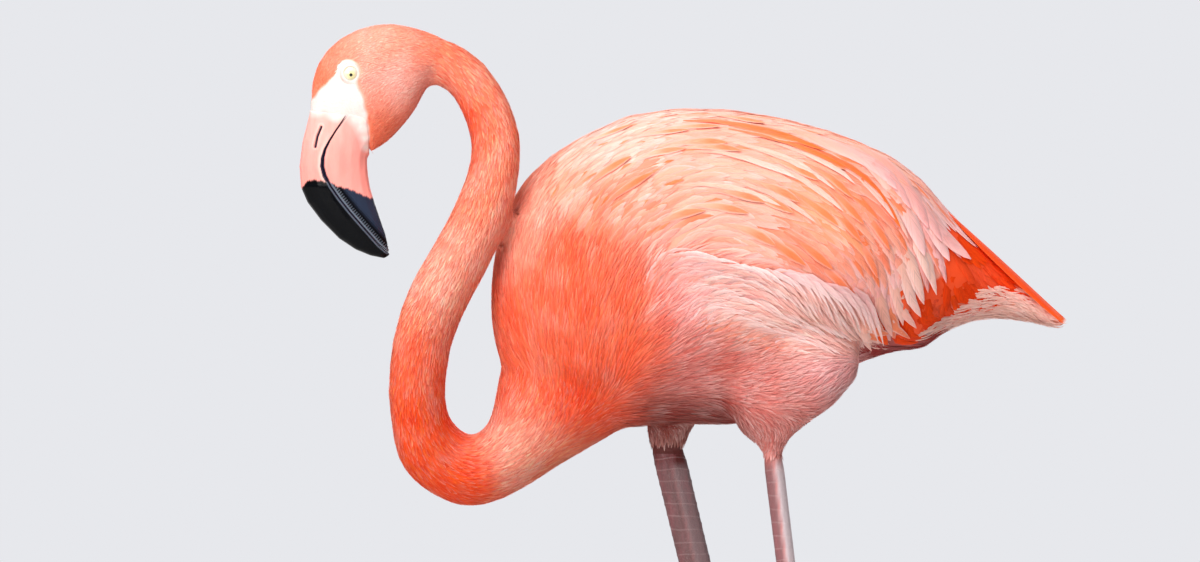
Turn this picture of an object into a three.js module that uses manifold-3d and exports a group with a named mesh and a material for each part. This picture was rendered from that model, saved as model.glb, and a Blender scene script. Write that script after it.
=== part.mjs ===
// A flamingo, standing and facing -X, its head lowered beside its breast.
// Millimetres, +Z up. The floor is z = 0 and the bird's left side is -Y.
import * as THREE from 'three';
import { mergeVertices } from 'three/addons/utils/BufferGeometryUtils.js';
import Module from 'manifold-3d';

const wasm = await Module();
wasm.setup();

// ---- driving dimensions ------------------------------------------------------
const GAP = 0.3; // clear space between neighbouring parts
const WING_THICK = 7; // folded wing, from the body's side to the plumage
const WING_STEP = 3; // how far the wing stands out past the flank
const WING_PART = 5; // half the strip of mantle between the two wings
const EYE_R = 7;
const EYE_PLACE = { x: -247.5, y: 17, z: 816 };
const ANKLE_Z = 331;
const ANKLE_REACH = 17; // half the height of the knob at the ankle
const FOOT_TOP_Z = 17;
const TOE_R = 4.2;
const TOE_Z = 3.4; // toe's middle above the floor, so it stands on a flat
const WEB_THICK = 1.8;
const HIND_REACH = 15; // hind toe's middle behind the middle of the leg
const TOES = [
  { name: 'inner', turn: -18, length: 68 },
  { name: 'middle', turn: 12, length: 84 },
  { name: 'outer', turn: 37, length: 76 },
]; // turn: degrees outward from straight ahead
const CLAW = { length: 6, wide: 2.1, deep: 2.3 };

// Trunk and tail, breast to tail tip: [along, back, belly, half width].
const TRUNK = [
  [-143.3, 658, 634, 14], // foremost point of the breast
  [-140.6, 683, 615, 26],
  [-133, 711, 589, 42],
  [-122, 733, 572, 54],
  [-103, 753, 558, 65],
  [-77, 770, 551, 76], // shoulders
  [-39, 787, 551, 85],
  [6, 792, 554, 91],
  [51, 789, 554, 92], // middle of the back
  [96, 779, 572, 89],
  [126, 769, 597, 82],
  [156, 756, 608, 70], // rump
  [182, 736, 611, 56],
  [204, 709, 628, 42],
  [227, 687, 633, 32], // root of the tail
  [249, 668, 633, 28],
  [272, 646, 628, 26],
  [288, 631, 627, 20],
];
const TAIL_ROOT_X = 204;

// Head and bill, nape to tip: [crown x, z, throat x, z, side shift, half width].
const HEAD = [
  [-181, 844, -188, 809.5, -30, 17.5], // nape
  [-198, 850, -193, 802.5, -30, 20],
  [-218, 854, -200, 788.5, -30, 22],
  [-239, 851, -211, 774.5, -30, 23],
  [-258.5, 841, -221, 764.5, -30, 22.5], // brow
  [-271.5, 826, -229, 759.5, -30, 20],
  [-277.5, 807.5, -233, 756.5, -30, 17],
  [-278, 789.5, -235.5, 753.5, -30, 15], // root of the bill
  [-285, 759.5, -235.5, 746.5, -30, 13.5],
  [-285.5, 733.5, -234, 733.5, -30, 13], // the bend
  [-277, 715.5, -229, 716.5, -30, 12],
  [-257.5, 694, -222.5, 698, -30, 9.5],
  [-239, 682.5, -220, 687, -30, 6.5],
  [-223, 678.5, -219, 681, -30, 2], // tip
];
const BILL_ROOT = [
  [-290, 791], [-277, 789], [-254, 786], [-238, 784], [-234, 774], [-233.5, 752], [-224, 745],
];
const GAPE = [
  [-247, 789], [-260, 771], [-267.5, 756], [-267, 741], [-255, 721.5], [-236, 699], [-223, 685], [-213, 680],
];

// Neck, nape to breast: [outer x, z, inner x, z, side shift, half width].
const NECK = [
  [-181, 844, -188, 809.5, -30, 17.5],
  [-154, 830, -175, 803.5, -31, 17],
  [-134, 804, -166, 789, -36, 17.5],
  [-123, 778, -160, 774, -41, 18.5], // first bend
  [-121, 753.5, -158, 753.5, -45, 19],
  [-126, 716.5, -166.5, 726.5, -48, 20.5],
  [-139, 683, -182.5, 694.5, -48, 21.5],
  [-156, 651, -202.5, 660, -45, 22],
  [-171, 618.5, -215.5, 623.5, -39, 22],
  [-177, 584.5, -220, 584.5, -31, 22],
  [-175.5, 563.5, -218, 554.5, -23, 22.5],
  [-170.5, 554.5, -213.5, 530.5, -16, 23.5],
  [-164.5, 549, -201.5, 512, -10, 25], // second bend
  [-159, 546, -181, 498, -5, 27],
  [-150, 549, -157, 492, -2, 29],
  [-142, 563, -126, 502, 0, 33],
  [-137, 593, -88, 526, 0, 42],
  [-122, 625, -40, 553, 0, 50], // sunk in the breast
];
const NECK_CUTS = [0, 0.18, 0.34, 0.48, 0.61, 0.74, 1];

// Folded wing, seen from the side, round from the front of the shoulder.
const WING = [
  [-106, 715], [-86, 790], [13, 815], [141, 790], [206, 728], [225, 684],
  [198, 645], [162, 609], [122, 630], [43, 667], [-20, 674], [-82, 686],
];

// Each leg: where the shank leaves the feathers, the ankle, and the foot.
const LEGS = [
  {
    side: 'left', y: -46, hipX: 67, ankleX: 89, footX: 44,
    shank: [7.2, 10], // half depth and half width of the bare shank
    thigh: [
      [39, 625, 132, 616, -50, 26],
      [34, 584, 129, 586, -52, 29],
      [36, 555, 104, 563, -51, 24],
      [50, 544, 80, 547, -48, 15],
      [58, 536, 76, 537, -46, 10],
      [59.5, 529, 74.5, 529, -46, 9],
    ],
  },
  {
    side: 'right', y: 44, hipX: -10, ankleX: 34, footX: -12,
    shank: [12.5, 8],
    thigh: [
      [-30, 620, 55, 620, 46, 26],
      [-33, 585, 40, 586, 48, 28],
      [-28, 562, 16, 562, 47, 22],
      [-24, 548, 7, 548, 45, 14],
      [-23, 538, 3, 538, 44, 10],
      [-22.5, 531, 2.5, 531, 44, 9.5],
    ],
  },
];

// ---- helpers -----------------------------------------------------------------
const group = new THREE.Group();
group.name = 'flamingo';

const COLOURS = {
  plumage: '#f29a84',
  face_skin: '#f5e6df',
  bill_pink: '#f0a898',
  bill_black: '#17181c',
  eye: '#e9dfa0',
  leg_skin: '#b98f8f',
  claw: '#3a3032',
};

function solid(geometry) {
  geometry.deleteAttribute('normal');
  geometry.deleteAttribute('uv');
  const joined = mergeVertices(geometry, 1e-4);
  return new wasm.Manifold(new wasm.Mesh({
    numProp: 3,
    vertProperties: new Float32Array(joined.attributes.position.array),
    triVerts: new Uint32Array(joined.index.array),
  }));
}

function add(name, colour, shape) {
  const pieces = shape.decompose().sort((a, b) => b.volume() - a.volume());
  const mesh = pieces[0].simplify(0.02).getMesh();
  const geometry = new THREE.BufferGeometry();
  geometry.setAttribute('position', new THREE.BufferAttribute(new Float32Array(mesh.vertProperties), 3));
  geometry.setIndex([...mesh.triVerts]);
  geometry.computeVertexNormals();
  const node = new THREE.Mesh(geometry, new THREE.MeshStandardMaterial({ color: COLOURS[colour] }));
  node.name = name;
  group.add(node);
}

// A closed body through oval rings. Each row gives a ring's upper and lower
// edge in the bird's profile, its shift to the side and its half width.
function loft(rows, { around = 20, along = 20, from = 0, to = 1, grow = 0, widen = 0 } = {}) {
  const through = (points) => new THREE.CatmullRomCurve3(points, false, 'catmullrom');
  const upper = through(rows.map((r) => new THREE.Vector3(r[0], r[4], r[1])));
  const lower = through(rows.map((r) => new THREE.Vector3(r[2], r[5], r[3])));
  const middle = Math.floor(rows.length / 2);
  const [a, b] = [rows[middle - 1], rows[middle]];
  const hand = Math.sign((b[1] - b[3]) * (b[0] - a[0]) - (b[0] - b[2]) * (b[1] - a[1]));
  const geometry = new THREE.CylinderGeometry(1, 1, 1, around, along);
  const place = geometry.attributes.position;
  for (let i = 0; i < place.count; i += 1) {
    const t = from + (0.5 - place.getY(i)) * (to - from);
    const top = upper.getPoint(t);
    const low = lower.getPoint(t);
    const reach = new THREE.Vector3(top.x - low.x, 0, top.z - low.z).multiplyScalar(0.5);
    const deep = 1 + grow / Math.max(reach.length(), 1e-6);
    const wide = low.y + grow + widen;
    place.setXYZ(
      i,
      (top.x + low.x) / 2 + reach.x * deep * place.getZ(i),
      top.y + hand * wide * place.getX(i),
      (top.z + low.z) / 2 + reach.z * deep * place.getZ(i),
    );
  }
  return solid(geometry);
}

// A straight wall along Y over an outline in the bird's profile, drawn in from
// the outline by a margin.
function prism(outline, y0, y1, margin = 0) {
  const shape = new THREE.Shape();
  const points = outline.map(([x, z]) => new THREE.Vector2(x, z));
  const centre = points.reduce((sum, p) => sum.add(p), new THREE.Vector2()).divideScalar(points.length);
  points.forEach((p) => p.add(centre.clone().sub(p).setLength(margin)));
  shape.moveTo(points[0].x, points[0].y);
  shape.splineThru([...points.slice(1), points[0]]);
  const sweep = { depth: y1 - y0, bevelEnabled: false, curveSegments: 2 };
  const geometry = new THREE.ExtrudeGeometry(shape, sweep);
  geometry.rotateX(Math.PI / 2);
  geometry.translate(0, y1, 0);
  return solid(geometry);
}

// A thin wall along Y that follows a line in the profile, to part two pieces.
function partingWall(line, y0, y1, thick = GAP) {
  const run = new THREE.SplineCurve(line.map(([x, z]) => new THREE.Vector2(x, z)));
  const count = line.length * 2;
  const [near, far] = [[], []];
  for (let i = 0; i <= count; i += 1) {
    const p = run.getPoint(i / count);
    const d = run.getTangent(i / count);
    near.push(new THREE.Vector2(p.x - d.y * thick / 2, p.y + d.x * thick / 2));
    far.push(new THREE.Vector2(p.x + d.y * thick / 2, p.y - d.x * thick / 2));
  }
  const geometry = new THREE.ExtrudeGeometry(new THREE.Shape([...near, ...far.reverse()]), {
    depth: y1 - y0,
    bevelEnabled: false,
  });
  geometry.rotateX(Math.PI / 2);
  geometry.translate(0, y1, 0);
  return solid(geometry);
}

function ball(r, x, y, z, around = 12) {
  const geometry = new THREE.SphereGeometry(r, around, Math.round(around * 0.6));
  geometry.translate(x, y, z);
  return solid(geometry);
}

function wall(x, gap) {
  const geometry = new THREE.BoxGeometry(gap, 400, 500);
  geometry.translate(x, 0, 700);
  return solid(geometry);
}

// The pieces of a parted body, in order along a direction of the profile.
function piecesAlong(shape, dx, dz) {
  const reach = (piece) => {
    const box = piece.boundingBox();
    return dx * (box.min[0] + box.max[0]) + dz * (box.min[2] + box.max[2]);
  };
  return shape.decompose().filter((p) => p.volume() > 50).sort((a, b) => reach(a) - reach(b));
}

// ---- trunk, wings and tail ---------------------------------------------------
const trunkRows = TRUNK.map(([x, back, belly, half]) => [x, back, x, belly, 0, half]);
const bodyShape = { around: 20, along: 20 };
const whole = loft(trunkRows, bodyShape);
const coreRows = trunkRows.slice(0, -2);
const core = loft(coreRows, { ...bodyShape, grow: -WING_THICK });
const coreUnderWing = loft(coreRows, { ...bodyShape, grow: GAP - WING_THICK });
const winged = loft(trunkRows, { ...bodyShape, widen: WING_STEP });

const thighs = LEGS.map((leg) => loft(leg.thigh, { around: 14, along: 6 }));
const thighSockets = LEGS.map((leg) => loft(leg.thigh, { around: 14, along: 6, grow: GAP }));

const wingBlocks = [[-120, -WING_PART], [WING_PART, 120]].map(([y0, y1]) => prism(WING, y0, y1, 2 * GAP));
const wingRoom = prism(WING, -130, 130).subtract(core);

['left', 'right'].forEach((side, i) => {
  const folded = winged.intersect(wingBlocks[i]).subtract(coreUnderWing).subtract(thighSockets[i]);
  add(`wing_${side}`, 'plumage', folded);
});

const body = whole.subtract(wingRoom);
const mantle = prism(WING, GAP - WING_PART, WING_PART - GAP).intersect(whole);
const parted = body.add(mantle).subtract(wall(TAIL_ROOT_X, GAP));
const [trunkPiece, tailPiece] = piecesAlong(parted, 1, 0);
add('trunk', 'plumage', trunkPiece.subtract(thighSockets[0]).subtract(thighSockets[1]));

const undertailLine = [[192, 610], [210, 645], [228, 658], [250, 660], [267, 646], [274, 630], [277, 612]];
const [undertail, tail] = piecesAlong(tailPiece.subtract(partingWall(undertailLine, -80, 80)), 0, 1);
add('tail', 'plumage', tail);
add('undertail', 'plumage', undertail);

// ---- neck --------------------------------------------------------------------
const trunkRoom = loft(trunkRows, { ...bodyShape, grow: GAP });
const neckStep = GAP / 640; // the gap as a share of the neck's length
NECK_CUTS.slice(1).forEach((to, i) => {
  const from = NECK_CUTS[i] + neckStep;
  const along = Math.max(4, Math.round((to - from) * 30));
  const length = loft(NECK, { around: 16, along, from, to });
  add(`neck_${i + 1}`, 'plumage', to === 1 ? length.subtract(trunkRoom) : length);
});

// ---- head, bill and eyes -----------------------------------------------------
const face = loft(HEAD, { around: 18, along: 20 })
  .subtract(partingWall(BILL_ROOT, -70, 10))
  .subtract(partingWall(GAPE, -70, 10));
const [billUpper, billLower, head] = piecesAlong(face, 1, 0);
const sockets = [-1, 1].map((s) => ball(EYE_R + GAP, EYE_PLACE.x, -30 + s * EYE_PLACE.y, EYE_PLACE.z));
add('head', 'plumage', head.subtract(sockets[0]).subtract(sockets[1]));
add('bill_upper', 'bill_pink', billUpper);
add('bill_lower', 'bill_black', billLower);
add('eye_left', 'eye', ball(EYE_R, EYE_PLACE.x, -30 - EYE_PLACE.y, EYE_PLACE.z));
add('eye_right', 'eye', ball(EYE_R, EYE_PLACE.x, -30 + EYE_PLACE.y, EYE_PLACE.z));

// ---- legs and feet -----------------------------------------------------------
// A round bar from one height to another, its thickness swelling at the ends.
function bar([x0, z0], [x1, z1], y, deep, wide, ends) {
  const rows = [0, 0.12, 0.5, 0.88, 1].map((t) => {
    const swell = 1 + ends * (2 * t - 1) ** 4;
    const x = x0 + (x1 - x0) * t;
    const z = z0 + (z1 - z0) * t;
    return [x - deep * swell, z, x + deep * swell, z, y, wide * swell];
  });
  return loft(rows, { around: 10, along: 6 });
}

LEGS.forEach((leg, i) => {
  const { side, y, hipX, ankleX, footX } = leg;
  const [deep, wide] = leg.shank;
  add(`thigh_${side}`, 'plumage', thighs[i]);

  const hipZ = leg.thigh.at(-1)[1] - GAP;
  const [kneeTop, kneeBase] = [ANKLE_Z + ANKLE_REACH, ANKLE_Z - ANKLE_REACH];
  add(`shank_${side}`, 'leg_skin', bar([hipX, hipZ], [ankleX, kneeTop + GAP], y, deep, wide, 0.05));
  add(`ankle_${side}`, 'leg_skin', bar([ankleX, kneeTop], [ankleX, kneeBase], y, 12.5, 11.5, -0.3));
  add(`tarsus_${side}`, 'leg_skin', bar([ankleX, kneeBase - GAP], [footX, FOOT_TOP_Z], y, 7, 6.5, 0.2));

  // Foot: three toes and the web between them, on flats at the floor.
  const ahead = (turn, r) => {
    const angle = THREE.MathUtils.degToRad(turn * Math.sign(y));
    return [footX - r * Math.cos(angle), y + r * Math.sin(angle)];
  };
  const web = new THREE.Shape();
  const tips = TOES.map(({ turn, length }) => ahead(turn, length - 9));
  const notches = [-3, 24].map((turn) => ahead(turn, 44));
  web.moveTo(...ahead(192, 4));
  web.lineTo(...tips[0]);
  web.quadraticCurveTo(...notches[0], ...tips[1]);
  web.quadraticCurveTo(...notches[1], ...tips[2]);
  const sheet = { depth: WEB_THICK, bevelEnabled: false, curveSegments: 4 };
  const webPlate = new THREE.ExtrudeGeometry(web, sheet);
  let foot = solid(webPlate).add(bar([footX, FOOT_TOP_Z - GAP], [footX, 0], y, 7.5, 7, 0.15));
  const claws = TOES.map(({ turn, length }) => {
    const [tx, ty] = ahead(turn, length);
    const [mx, my] = ahead(turn, length / 2);
    const toe = new THREE.CapsuleGeometry(TOE_R, length - 2 * TOE_R, 2, 7);
    toe.rotateZ(Math.PI / 2);
    toe.rotateZ(Math.atan2(my - y, mx - footX));
    toe.translate(mx, my, TOE_Z);
    foot = foot.add(solid(toe));
    const shape = (extra) => {
      const nail = new THREE.SphereGeometry(1, 7, 4);
      nail.scale(CLAW.length + extra, CLAW.wide + extra, CLAW.deep + extra);
      nail.rotateZ(Math.atan2(my - y, mx - footX));
      nail.translate(tx, ty, CLAW.deep - 0.6);
      return solid(nail);
    };
    return [shape(0), shape(GAP)];
  });
  foot = foot.trimByPlane([0, 0, 1], 0);
  TOES.forEach(({ name }, k) => {
    foot = foot.subtract(claws[k][1]);
    add(`claw_${name}_${side}`, 'claw', claws[k][0].trimByPlane([0, 0, 1], 0));
  });
  add(`foot_${side}`, 'leg_skin', foot);

  // Hind toe: short, rooted on the back of the leg and held clear of the floor.
  const hind = new THREE.CapsuleGeometry(3, 14, 2, 8);
  hind.rotateZ(Math.PI / 2);
  hind.rotateY(THREE.MathUtils.degToRad(35));
  hind.translate(footX + HIND_REACH, y, FOOT_TOP_Z + 1);
  const heel = bar([ankleX, kneeBase - GAP], [footX, FOOT_TOP_Z], y, 7 + GAP, 6.5 + GAP, 0.2);
  add(`hind_toe_${side}`, 'leg_skin', solid(hind).subtract(heel));
});

export default group;
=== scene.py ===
# %% [markdown]
# # A standing flamingo
# This is a life-size still model of an adult American flamingo. The solids that arrive as the
# frame give its outline out to the tips of the feathers. Here they are dressed: one skin under
# the plumage, feathers laid over it, and a bill, eyes and claws of their own.

import math

import bmesh
import bpy
import numpy as np
from mathutils import Matrix, Vector, noise
from mathutils.bvhtree import BVHTree


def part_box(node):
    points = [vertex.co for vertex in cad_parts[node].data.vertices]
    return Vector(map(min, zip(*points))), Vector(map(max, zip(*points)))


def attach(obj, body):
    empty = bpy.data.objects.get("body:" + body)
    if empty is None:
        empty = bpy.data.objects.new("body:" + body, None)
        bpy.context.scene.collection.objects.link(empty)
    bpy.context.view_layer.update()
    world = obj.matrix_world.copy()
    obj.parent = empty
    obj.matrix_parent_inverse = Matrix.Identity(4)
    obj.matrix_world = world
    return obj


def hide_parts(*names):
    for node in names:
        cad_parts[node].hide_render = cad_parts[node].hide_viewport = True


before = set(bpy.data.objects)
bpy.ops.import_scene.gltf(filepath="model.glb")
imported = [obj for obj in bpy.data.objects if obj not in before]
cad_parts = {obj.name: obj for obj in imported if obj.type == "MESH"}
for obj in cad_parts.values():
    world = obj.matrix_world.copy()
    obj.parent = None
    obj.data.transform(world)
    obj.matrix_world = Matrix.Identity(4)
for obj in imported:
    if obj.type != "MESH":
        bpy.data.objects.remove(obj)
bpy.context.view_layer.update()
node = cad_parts
mm = 0.001
chance = np.random.default_rng(11)

# %% [markdown]
# ## Camera, light and floor
# A long lens from six metres keeps the bird's proportions nearly flat, as a wild bird looks from a
# hide. One broad light from above stands for the sky, a weaker one fills the shaded side, and the
# floor is a plain pale sheet. The room is pale to look at but lights the bird less than it shows,
# which a Light Path node arranges, so that the belly keeps its shade.

# %% Camera
glass = bpy.data.cameras.new("camera")
glass.lens, glass.sensor_width = 240, 36
camera = bpy.data.objects.new("camera", glass)
camera.location = (-61.9 * mm, -6.0, 661.5 * mm)
camera.rotation_euler = (math.radians(90), 0, 0)
bpy.context.collection.objects.link(camera)
bpy.context.scene.camera = camera
bpy.context.scene.view_settings.view_transform = "Standard"

# %% Lights


def soft_light(name, place, size, watts, tint=(1, 1, 1)):
    """A round lamp that faces the middle of the bird."""
    lamp = bpy.data.lights.new(name, "AREA")
    lamp.shape, lamp.size, lamp.energy, lamp.color = "DISK", size, watts, tint
    light = bpy.data.objects.new(name, lamp)
    light.location = place
    light.rotation_euler = (Vector((0, 0, 0.65)) - Vector(place)).to_track_quat("-Z", "Y").to_euler()
    bpy.context.collection.objects.link(light)


soft_light("sky_light", (-0.5, -1.3, 3.3), 2.4, 95, (1, 0.985, 0.96))
soft_light("side_light", (-1.9, -3.2, 1.7), 2.6, 110, (1, 0.98, 0.96))
soft_light("back_light", (0.6, 2.8, 2.2), 2.4, 70)
room = bpy.data.worlds.new("pale_room")
room.use_nodes = True
room_nodes, room_links = room.node_tree.nodes, room.node_tree.links
seen = room_nodes.new("ShaderNodeLightPath")
level = room_nodes.new("ShaderNodeMapRange")
level.inputs["To Min"].default_value, level.inputs["To Max"].default_value = 0.32, 0.84
room_links.new(seen.outputs["Is Camera Ray"], level.inputs["Value"])
room_links.new(level.outputs["Result"], room_nodes["Background"].inputs["Strength"])
room_nodes["Background"].inputs["Color"].default_value = (0.95, 0.96, 1, 1)
bpy.context.scene.world = room
print("lights: 3, and a pale room")

# %% [markdown]
# ## Writing materials as sums
# A material is a tree of nodes, but its pattern is easier to read as arithmetic. The small class
# below wraps one socket, so that `1 - mask * 0.3` adds the Math nodes by itself. Every other kind
# of node comes from one method of the finish that is being made.

# %% Shader arithmetic


class Shade:
    """One socket of a material, which Python arithmetic can be done on."""

    def __init__(self, tree, socket):
        self.tree, self.socket = tree, socket

    def maths(self, operation, *terms):
        """Adds one Math node. Its terms are numbers or other sockets."""
        step = self.tree.nodes.new("ShaderNodeMath")
        step.operation = operation
        for slot, term in zip(step.inputs, terms):
            if isinstance(term, Shade):
                self.tree.links.new(term.socket, slot)
            else:
                slot.default_value = term
        return Shade(self.tree, step.outputs[0])

    def __add__(self, other):
        return self.maths("ADD", self, other)

    def __sub__(self, other):
        return self.maths("SUBTRACT", self, other)

    def __rsub__(self, other):
        return self.maths("SUBTRACT", other, self)

    def __mul__(self, other):
        return self.maths("MULTIPLY", self, other)

    def size(self):
        return self.maths("ABSOLUTE", self)

    def step(self, edge, soft):
        """0 below the edge and 1 above it, with a slope between."""
        ramp = (self - edge) * (1 / soft) + 0.5
        return ramp.maths("MINIMUM", ramp.maths("MAXIMUM", ramp, 0), 1)

    __radd__ = __add__
    __rmul__ = __mul__


class Finish:
    """A material being made, with its surface shader ready."""

    def __init__(self, name):
        self.material = bpy.data.materials.new(name)
        self.material.use_nodes = True
        self.tree = self.material.node_tree
        self.shader = self.tree.nodes["Principled BSDF"]

    def fill(self, step, inputs):
        """Sets or links sockets, by name or, after an underscore, by number."""
        for key, value in inputs.items():
            slot = step.inputs[int(key[1:])] if key[0] == "_" else step.inputs[key.replace("_", " ")]
            if isinstance(value, Shade):
                self.tree.links.new(value.socket, slot)
            else:
                slot.default_value = value

    def node(self, kind, settings=None, output=0, **inputs):
        """Adds any node: its type, its settings, and the values or links of its sockets."""
        step = self.tree.nodes.new("ShaderNode" + kind)
        for key, value in (settings or {}).items():
            setattr(step, key, value)
        self.fill(step, inputs)
        return Shade(self.tree, step.outputs[output])

    def surface(self, **inputs):
        self.fill(self.shader, inputs)
        return self.material

    def mix(self, factor, first, second):
        return self.node("Mix", {"data_type": "RGBA"}, 2, _0=factor, _6=first, _7=second)

    def scaled(self, tint, amount):
        return self.node("VectorMath", {"operation": "SCALE"}, _0=tint, _3=amount)

    def bump(self, height, strength, distance):
        return self.node("Bump", Height=height, Strength=strength, Distance=distance)

    def painted(self, layer):
        return self.node("VertexColor", {"layer_name": layer})

    def here(self):
        return self.node("TexCoord", output=3)

    def noise(self, scale, detail=3.0, rough=0.5, at=None):
        return self.node("TexNoise", Vector=at or self.here(), Scale=scale, Detail=detail, Roughness=rough)


def colour(red, green, blue):
    """A colour as a painter's 0 to 255 values, in the linear light that shaders use."""
    share = np.array([red, green, blue]) / 255
    linear = np.where(share <= 0.04045, share / 12.92, ((share + 0.055) / 1.055) ** 2.4)
    return (*linear.tolist(), 1.0)


def paint_box(**paints):
    """Named colours as arrays, for working out what lies between them."""
    return {name: np.array(colour(*values)[:3]) for name, values in paints.items()}


def placed(name, mesh, slot=None):
    """A mesh as an object, riding on the bird's one body when a slot is given."""
    piece = bpy.data.objects.new(name, mesh)
    bpy.context.collection.objects.link(piece)
    if slot:
        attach(piece, "root")
    return piece


# %% Floor
sheet = bmesh.new()
bmesh.ops.create_grid(sheet, x_segments=1, y_segments=1, size=6)
ground = bpy.data.meshes.new("floor")
sheet.to_mesh(ground)
sheet.free()
pale = Finish("pale_floor")
grit = pale.noise(30.0)
ground.materials.append(
    pale.surface(Base_Color=colour(198, 197, 195), Roughness=0.85, Normal=pale.bump(grit, 0.05, 0.001))
)
placed("floor", ground)

# %% [markdown]
# ## The colours of the plumage
# A flamingo's feathers run from nearly white to flame red, and the change is gradual. A few named paints,
# some of them painted shade, are laid at landmarks on the bird's side, and each point of skin or feather
# takes the mean of those near it. Skin and feathers ask the same function, so their markings agree.

# %% Paints
# Some paints are painted shade: the wine under the belly, the umber of the far thigh and the garnet of the
# strip under the undertail. The rose of the lower side and thighs is in part painted shade, and so is the
# scarlet inside the neck's upper bend.
PAINT = paint_box(
    flame=(250, 74, 8), ember=(242, 62, 4), orange=(252, 104, 20), scarlet=(250, 74, 26),
    coral=(251, 98, 58), salmon=(253, 124, 88), apricot=(253, 142, 92), blush=(254, 160, 134),
    shell=(254, 186, 168), petal=(255, 216, 210), mauve=(253, 172, 170), rose=(224, 122, 112),
    wine=(132, 34, 26), garnet=(164, 38, 36), peach=(254, 172, 154), umber=(172, 104, 92),
)
# x and z of each landmark in millimetres, and its paint
LANDMARKS = {
    "crown": (-235, 845, "blush"),
    "forehead": (-274, 818, "salmon"),
    "cheek": (-212, 805, "peach"),
    "chin": (-222, 772, "salmon"),
    "nape": (-180, 838, "salmon"),
    "neck, top of the bend": (-150, 812, "salmon"),
    # In part painted shade inside the bend.
    "neck, inner bend": (-165, 778, "scarlet"),
    "neck, upper": (-134, 770, "salmon"),
    "neck, middle": (-145, 720, "salmon"),
    "neck, lower": (-185, 660, "blush"),
    "neck, lower outside": (-205, 645, "salmon"),
    "neck, above the turn": (-200, 605, "coral"),
    "neck, turn": (-200, 555, "flame"),
    "neck, underside": (-170, 512, "flame"),
    "neck, rising": (-122, 538, "blush"),
    "throat of the breast": (-95, 525, "salmon"),
    "base of the breast": (-118, 575, "coral"),
    "breast": (-75, 570, "scarlet"),
    "breast, front": (-128, 640, "coral"),
    "breast, middle": (-85, 620, "coral"),
    "breast, inner": (-60, 626, "coral"),
    "breast, upper": (-85, 680, "coral"),
    "shoulder, front": (-130, 698, "blush"),
    "shoulder": (-105, 730, "blush"),
    "shoulder, upper": (-55, 762, "shell"),
    "side, front": (-40, 610, "coral"),
    "side": (0, 590, "rose"),
    "side, upper": (-35, 650, "coral"),
    "wing, front": (-60, 715, "salmon"),
    "wing, upper front": (-17, 758, "blush"),
    "back": (-15, 785, "blush"),
    "back, middle": (55, 785, "blush"),
    "back, rear": (120, 762, "blush"),
    "rump": (170, 728, "mauve"),
    "wing, middle": (15, 728, "blush"),
    "wing, bright": (30, 760, "blush"),
    "wing, stripe": (105, 748, "salmon"),
    "wing, pale band": (0, 690, "blush"),
    "wing, patches": (75, 722, "apricot"),
    "wing, middle rear": (115, 715, "salmon"),
    "wing, rear": (128, 682, "mauve"),
    "wing, lower": (62, 692, "salmon"),
    "wing, tips": (150, 650, "blush"),
    "wing, rear edge": (172, 690, "salmon"),
    "flank, front": (0, 655, "mauve"),
    "flank": (50, 640, "shell"),
    "flank, rear": (100, 625, "shell"),
    "side, rear": (40, 592, "rose"),
    # Painted shade under the belly.
    "belly": (-10, 556, "wine"),
    "belly, middle": (25, 562, "wine"),
    "belly, rear": (70, 570, "rose"),
    "vent": (108, 592, "mauve"),
    "near thigh": (72, 540, "rose"),
    # Painted shade on the far thigh.
    "far thigh": (0, 538, "umber"),
    "undertail, front": (196, 626, "petal"),
    "undertail": (225, 643, "shell"),
    "undertail, rear": (255, 640, "blush"),
    # Painted shade in the strip between belly and undertail.
    "hidden undertail": (150, 606, "garnet"),
    "hidden undertail, rear": (176, 609, "garnet"),
}
# Where the flame red begins behind the wing, as heights and the x at each, and where it begins above
# the undertail, as places along x and the height at each.
RED_FROM = (
    [600, 617, 650, 658, 668, 679, 697, 706, 716, 740],
    [176, 173, 176, 194, 208, 208, 208, 208, 214, 230],
)
RED_ABOVE = (
    [170, 193, 212, 223, 244, 260, 280, 288],
    [616, 631, 647, 657, 660, 652, 632, 628],
)


def side_view(points):
    """x and z of points, in millimetres."""
    return points[:, 0] / mm, points[:, 2] / mm


def within(front=-400, rear=400, low=-50, high=1000):
    """A chooser of points between two places along x and two heights, in millimetres."""

    def chosen(points):
        x, z = side_view(points)
        return (x >= front) & (x < rear) & (z > low) & (z <= high)

    return chosen


def behind_coverts(points, margin=0.0):
    """Chooses points behind the line where the red of the flight feathers begins."""
    x, z = side_view(points)
    return x > np.interp(z, *RED_FROM) + margin


def over_cushion(points, margin=0.0):
    """Chooses points above the edge of the pale undertail."""
    x, z = side_view(points)
    return z > np.interp(x, *RED_ABOVE) + margin


def plumage(points, reach=20.0, red_margin=0.0):
    """The plumage's colour at points given in metres."""
    marks = np.array([mark[:2] for mark in LANDMARKS.values()])
    paints = np.array([PAINT[mark[2]] for mark in LANDMARKS.values()])
    away = ((points[:, None, [0, 2]] / mm - marks[None]) ** 2).sum(2)
    weight = 1 / (away + reach**2) ** 2.5
    blend = (weight @ paints) / weight.sum(1, keepdims=True)
    red = behind_coverts(points, red_margin) & over_cushion(points)
    return np.where(red[:, None], PAINT["flame"], blend)


print("paints:", len(PAINT), "landmarks:", len(LANDMARKS))

# %% [markdown]
# ## The lie of the coat
# Feathers lie in streams: down the neck, up over the breast, back along the wing and down over its
# edge. Each stream is a line on the bird's side that a feather's tip follows, and a feather takes
# the mean of the streams' directions near it, turned flat onto the skin under it.

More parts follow.
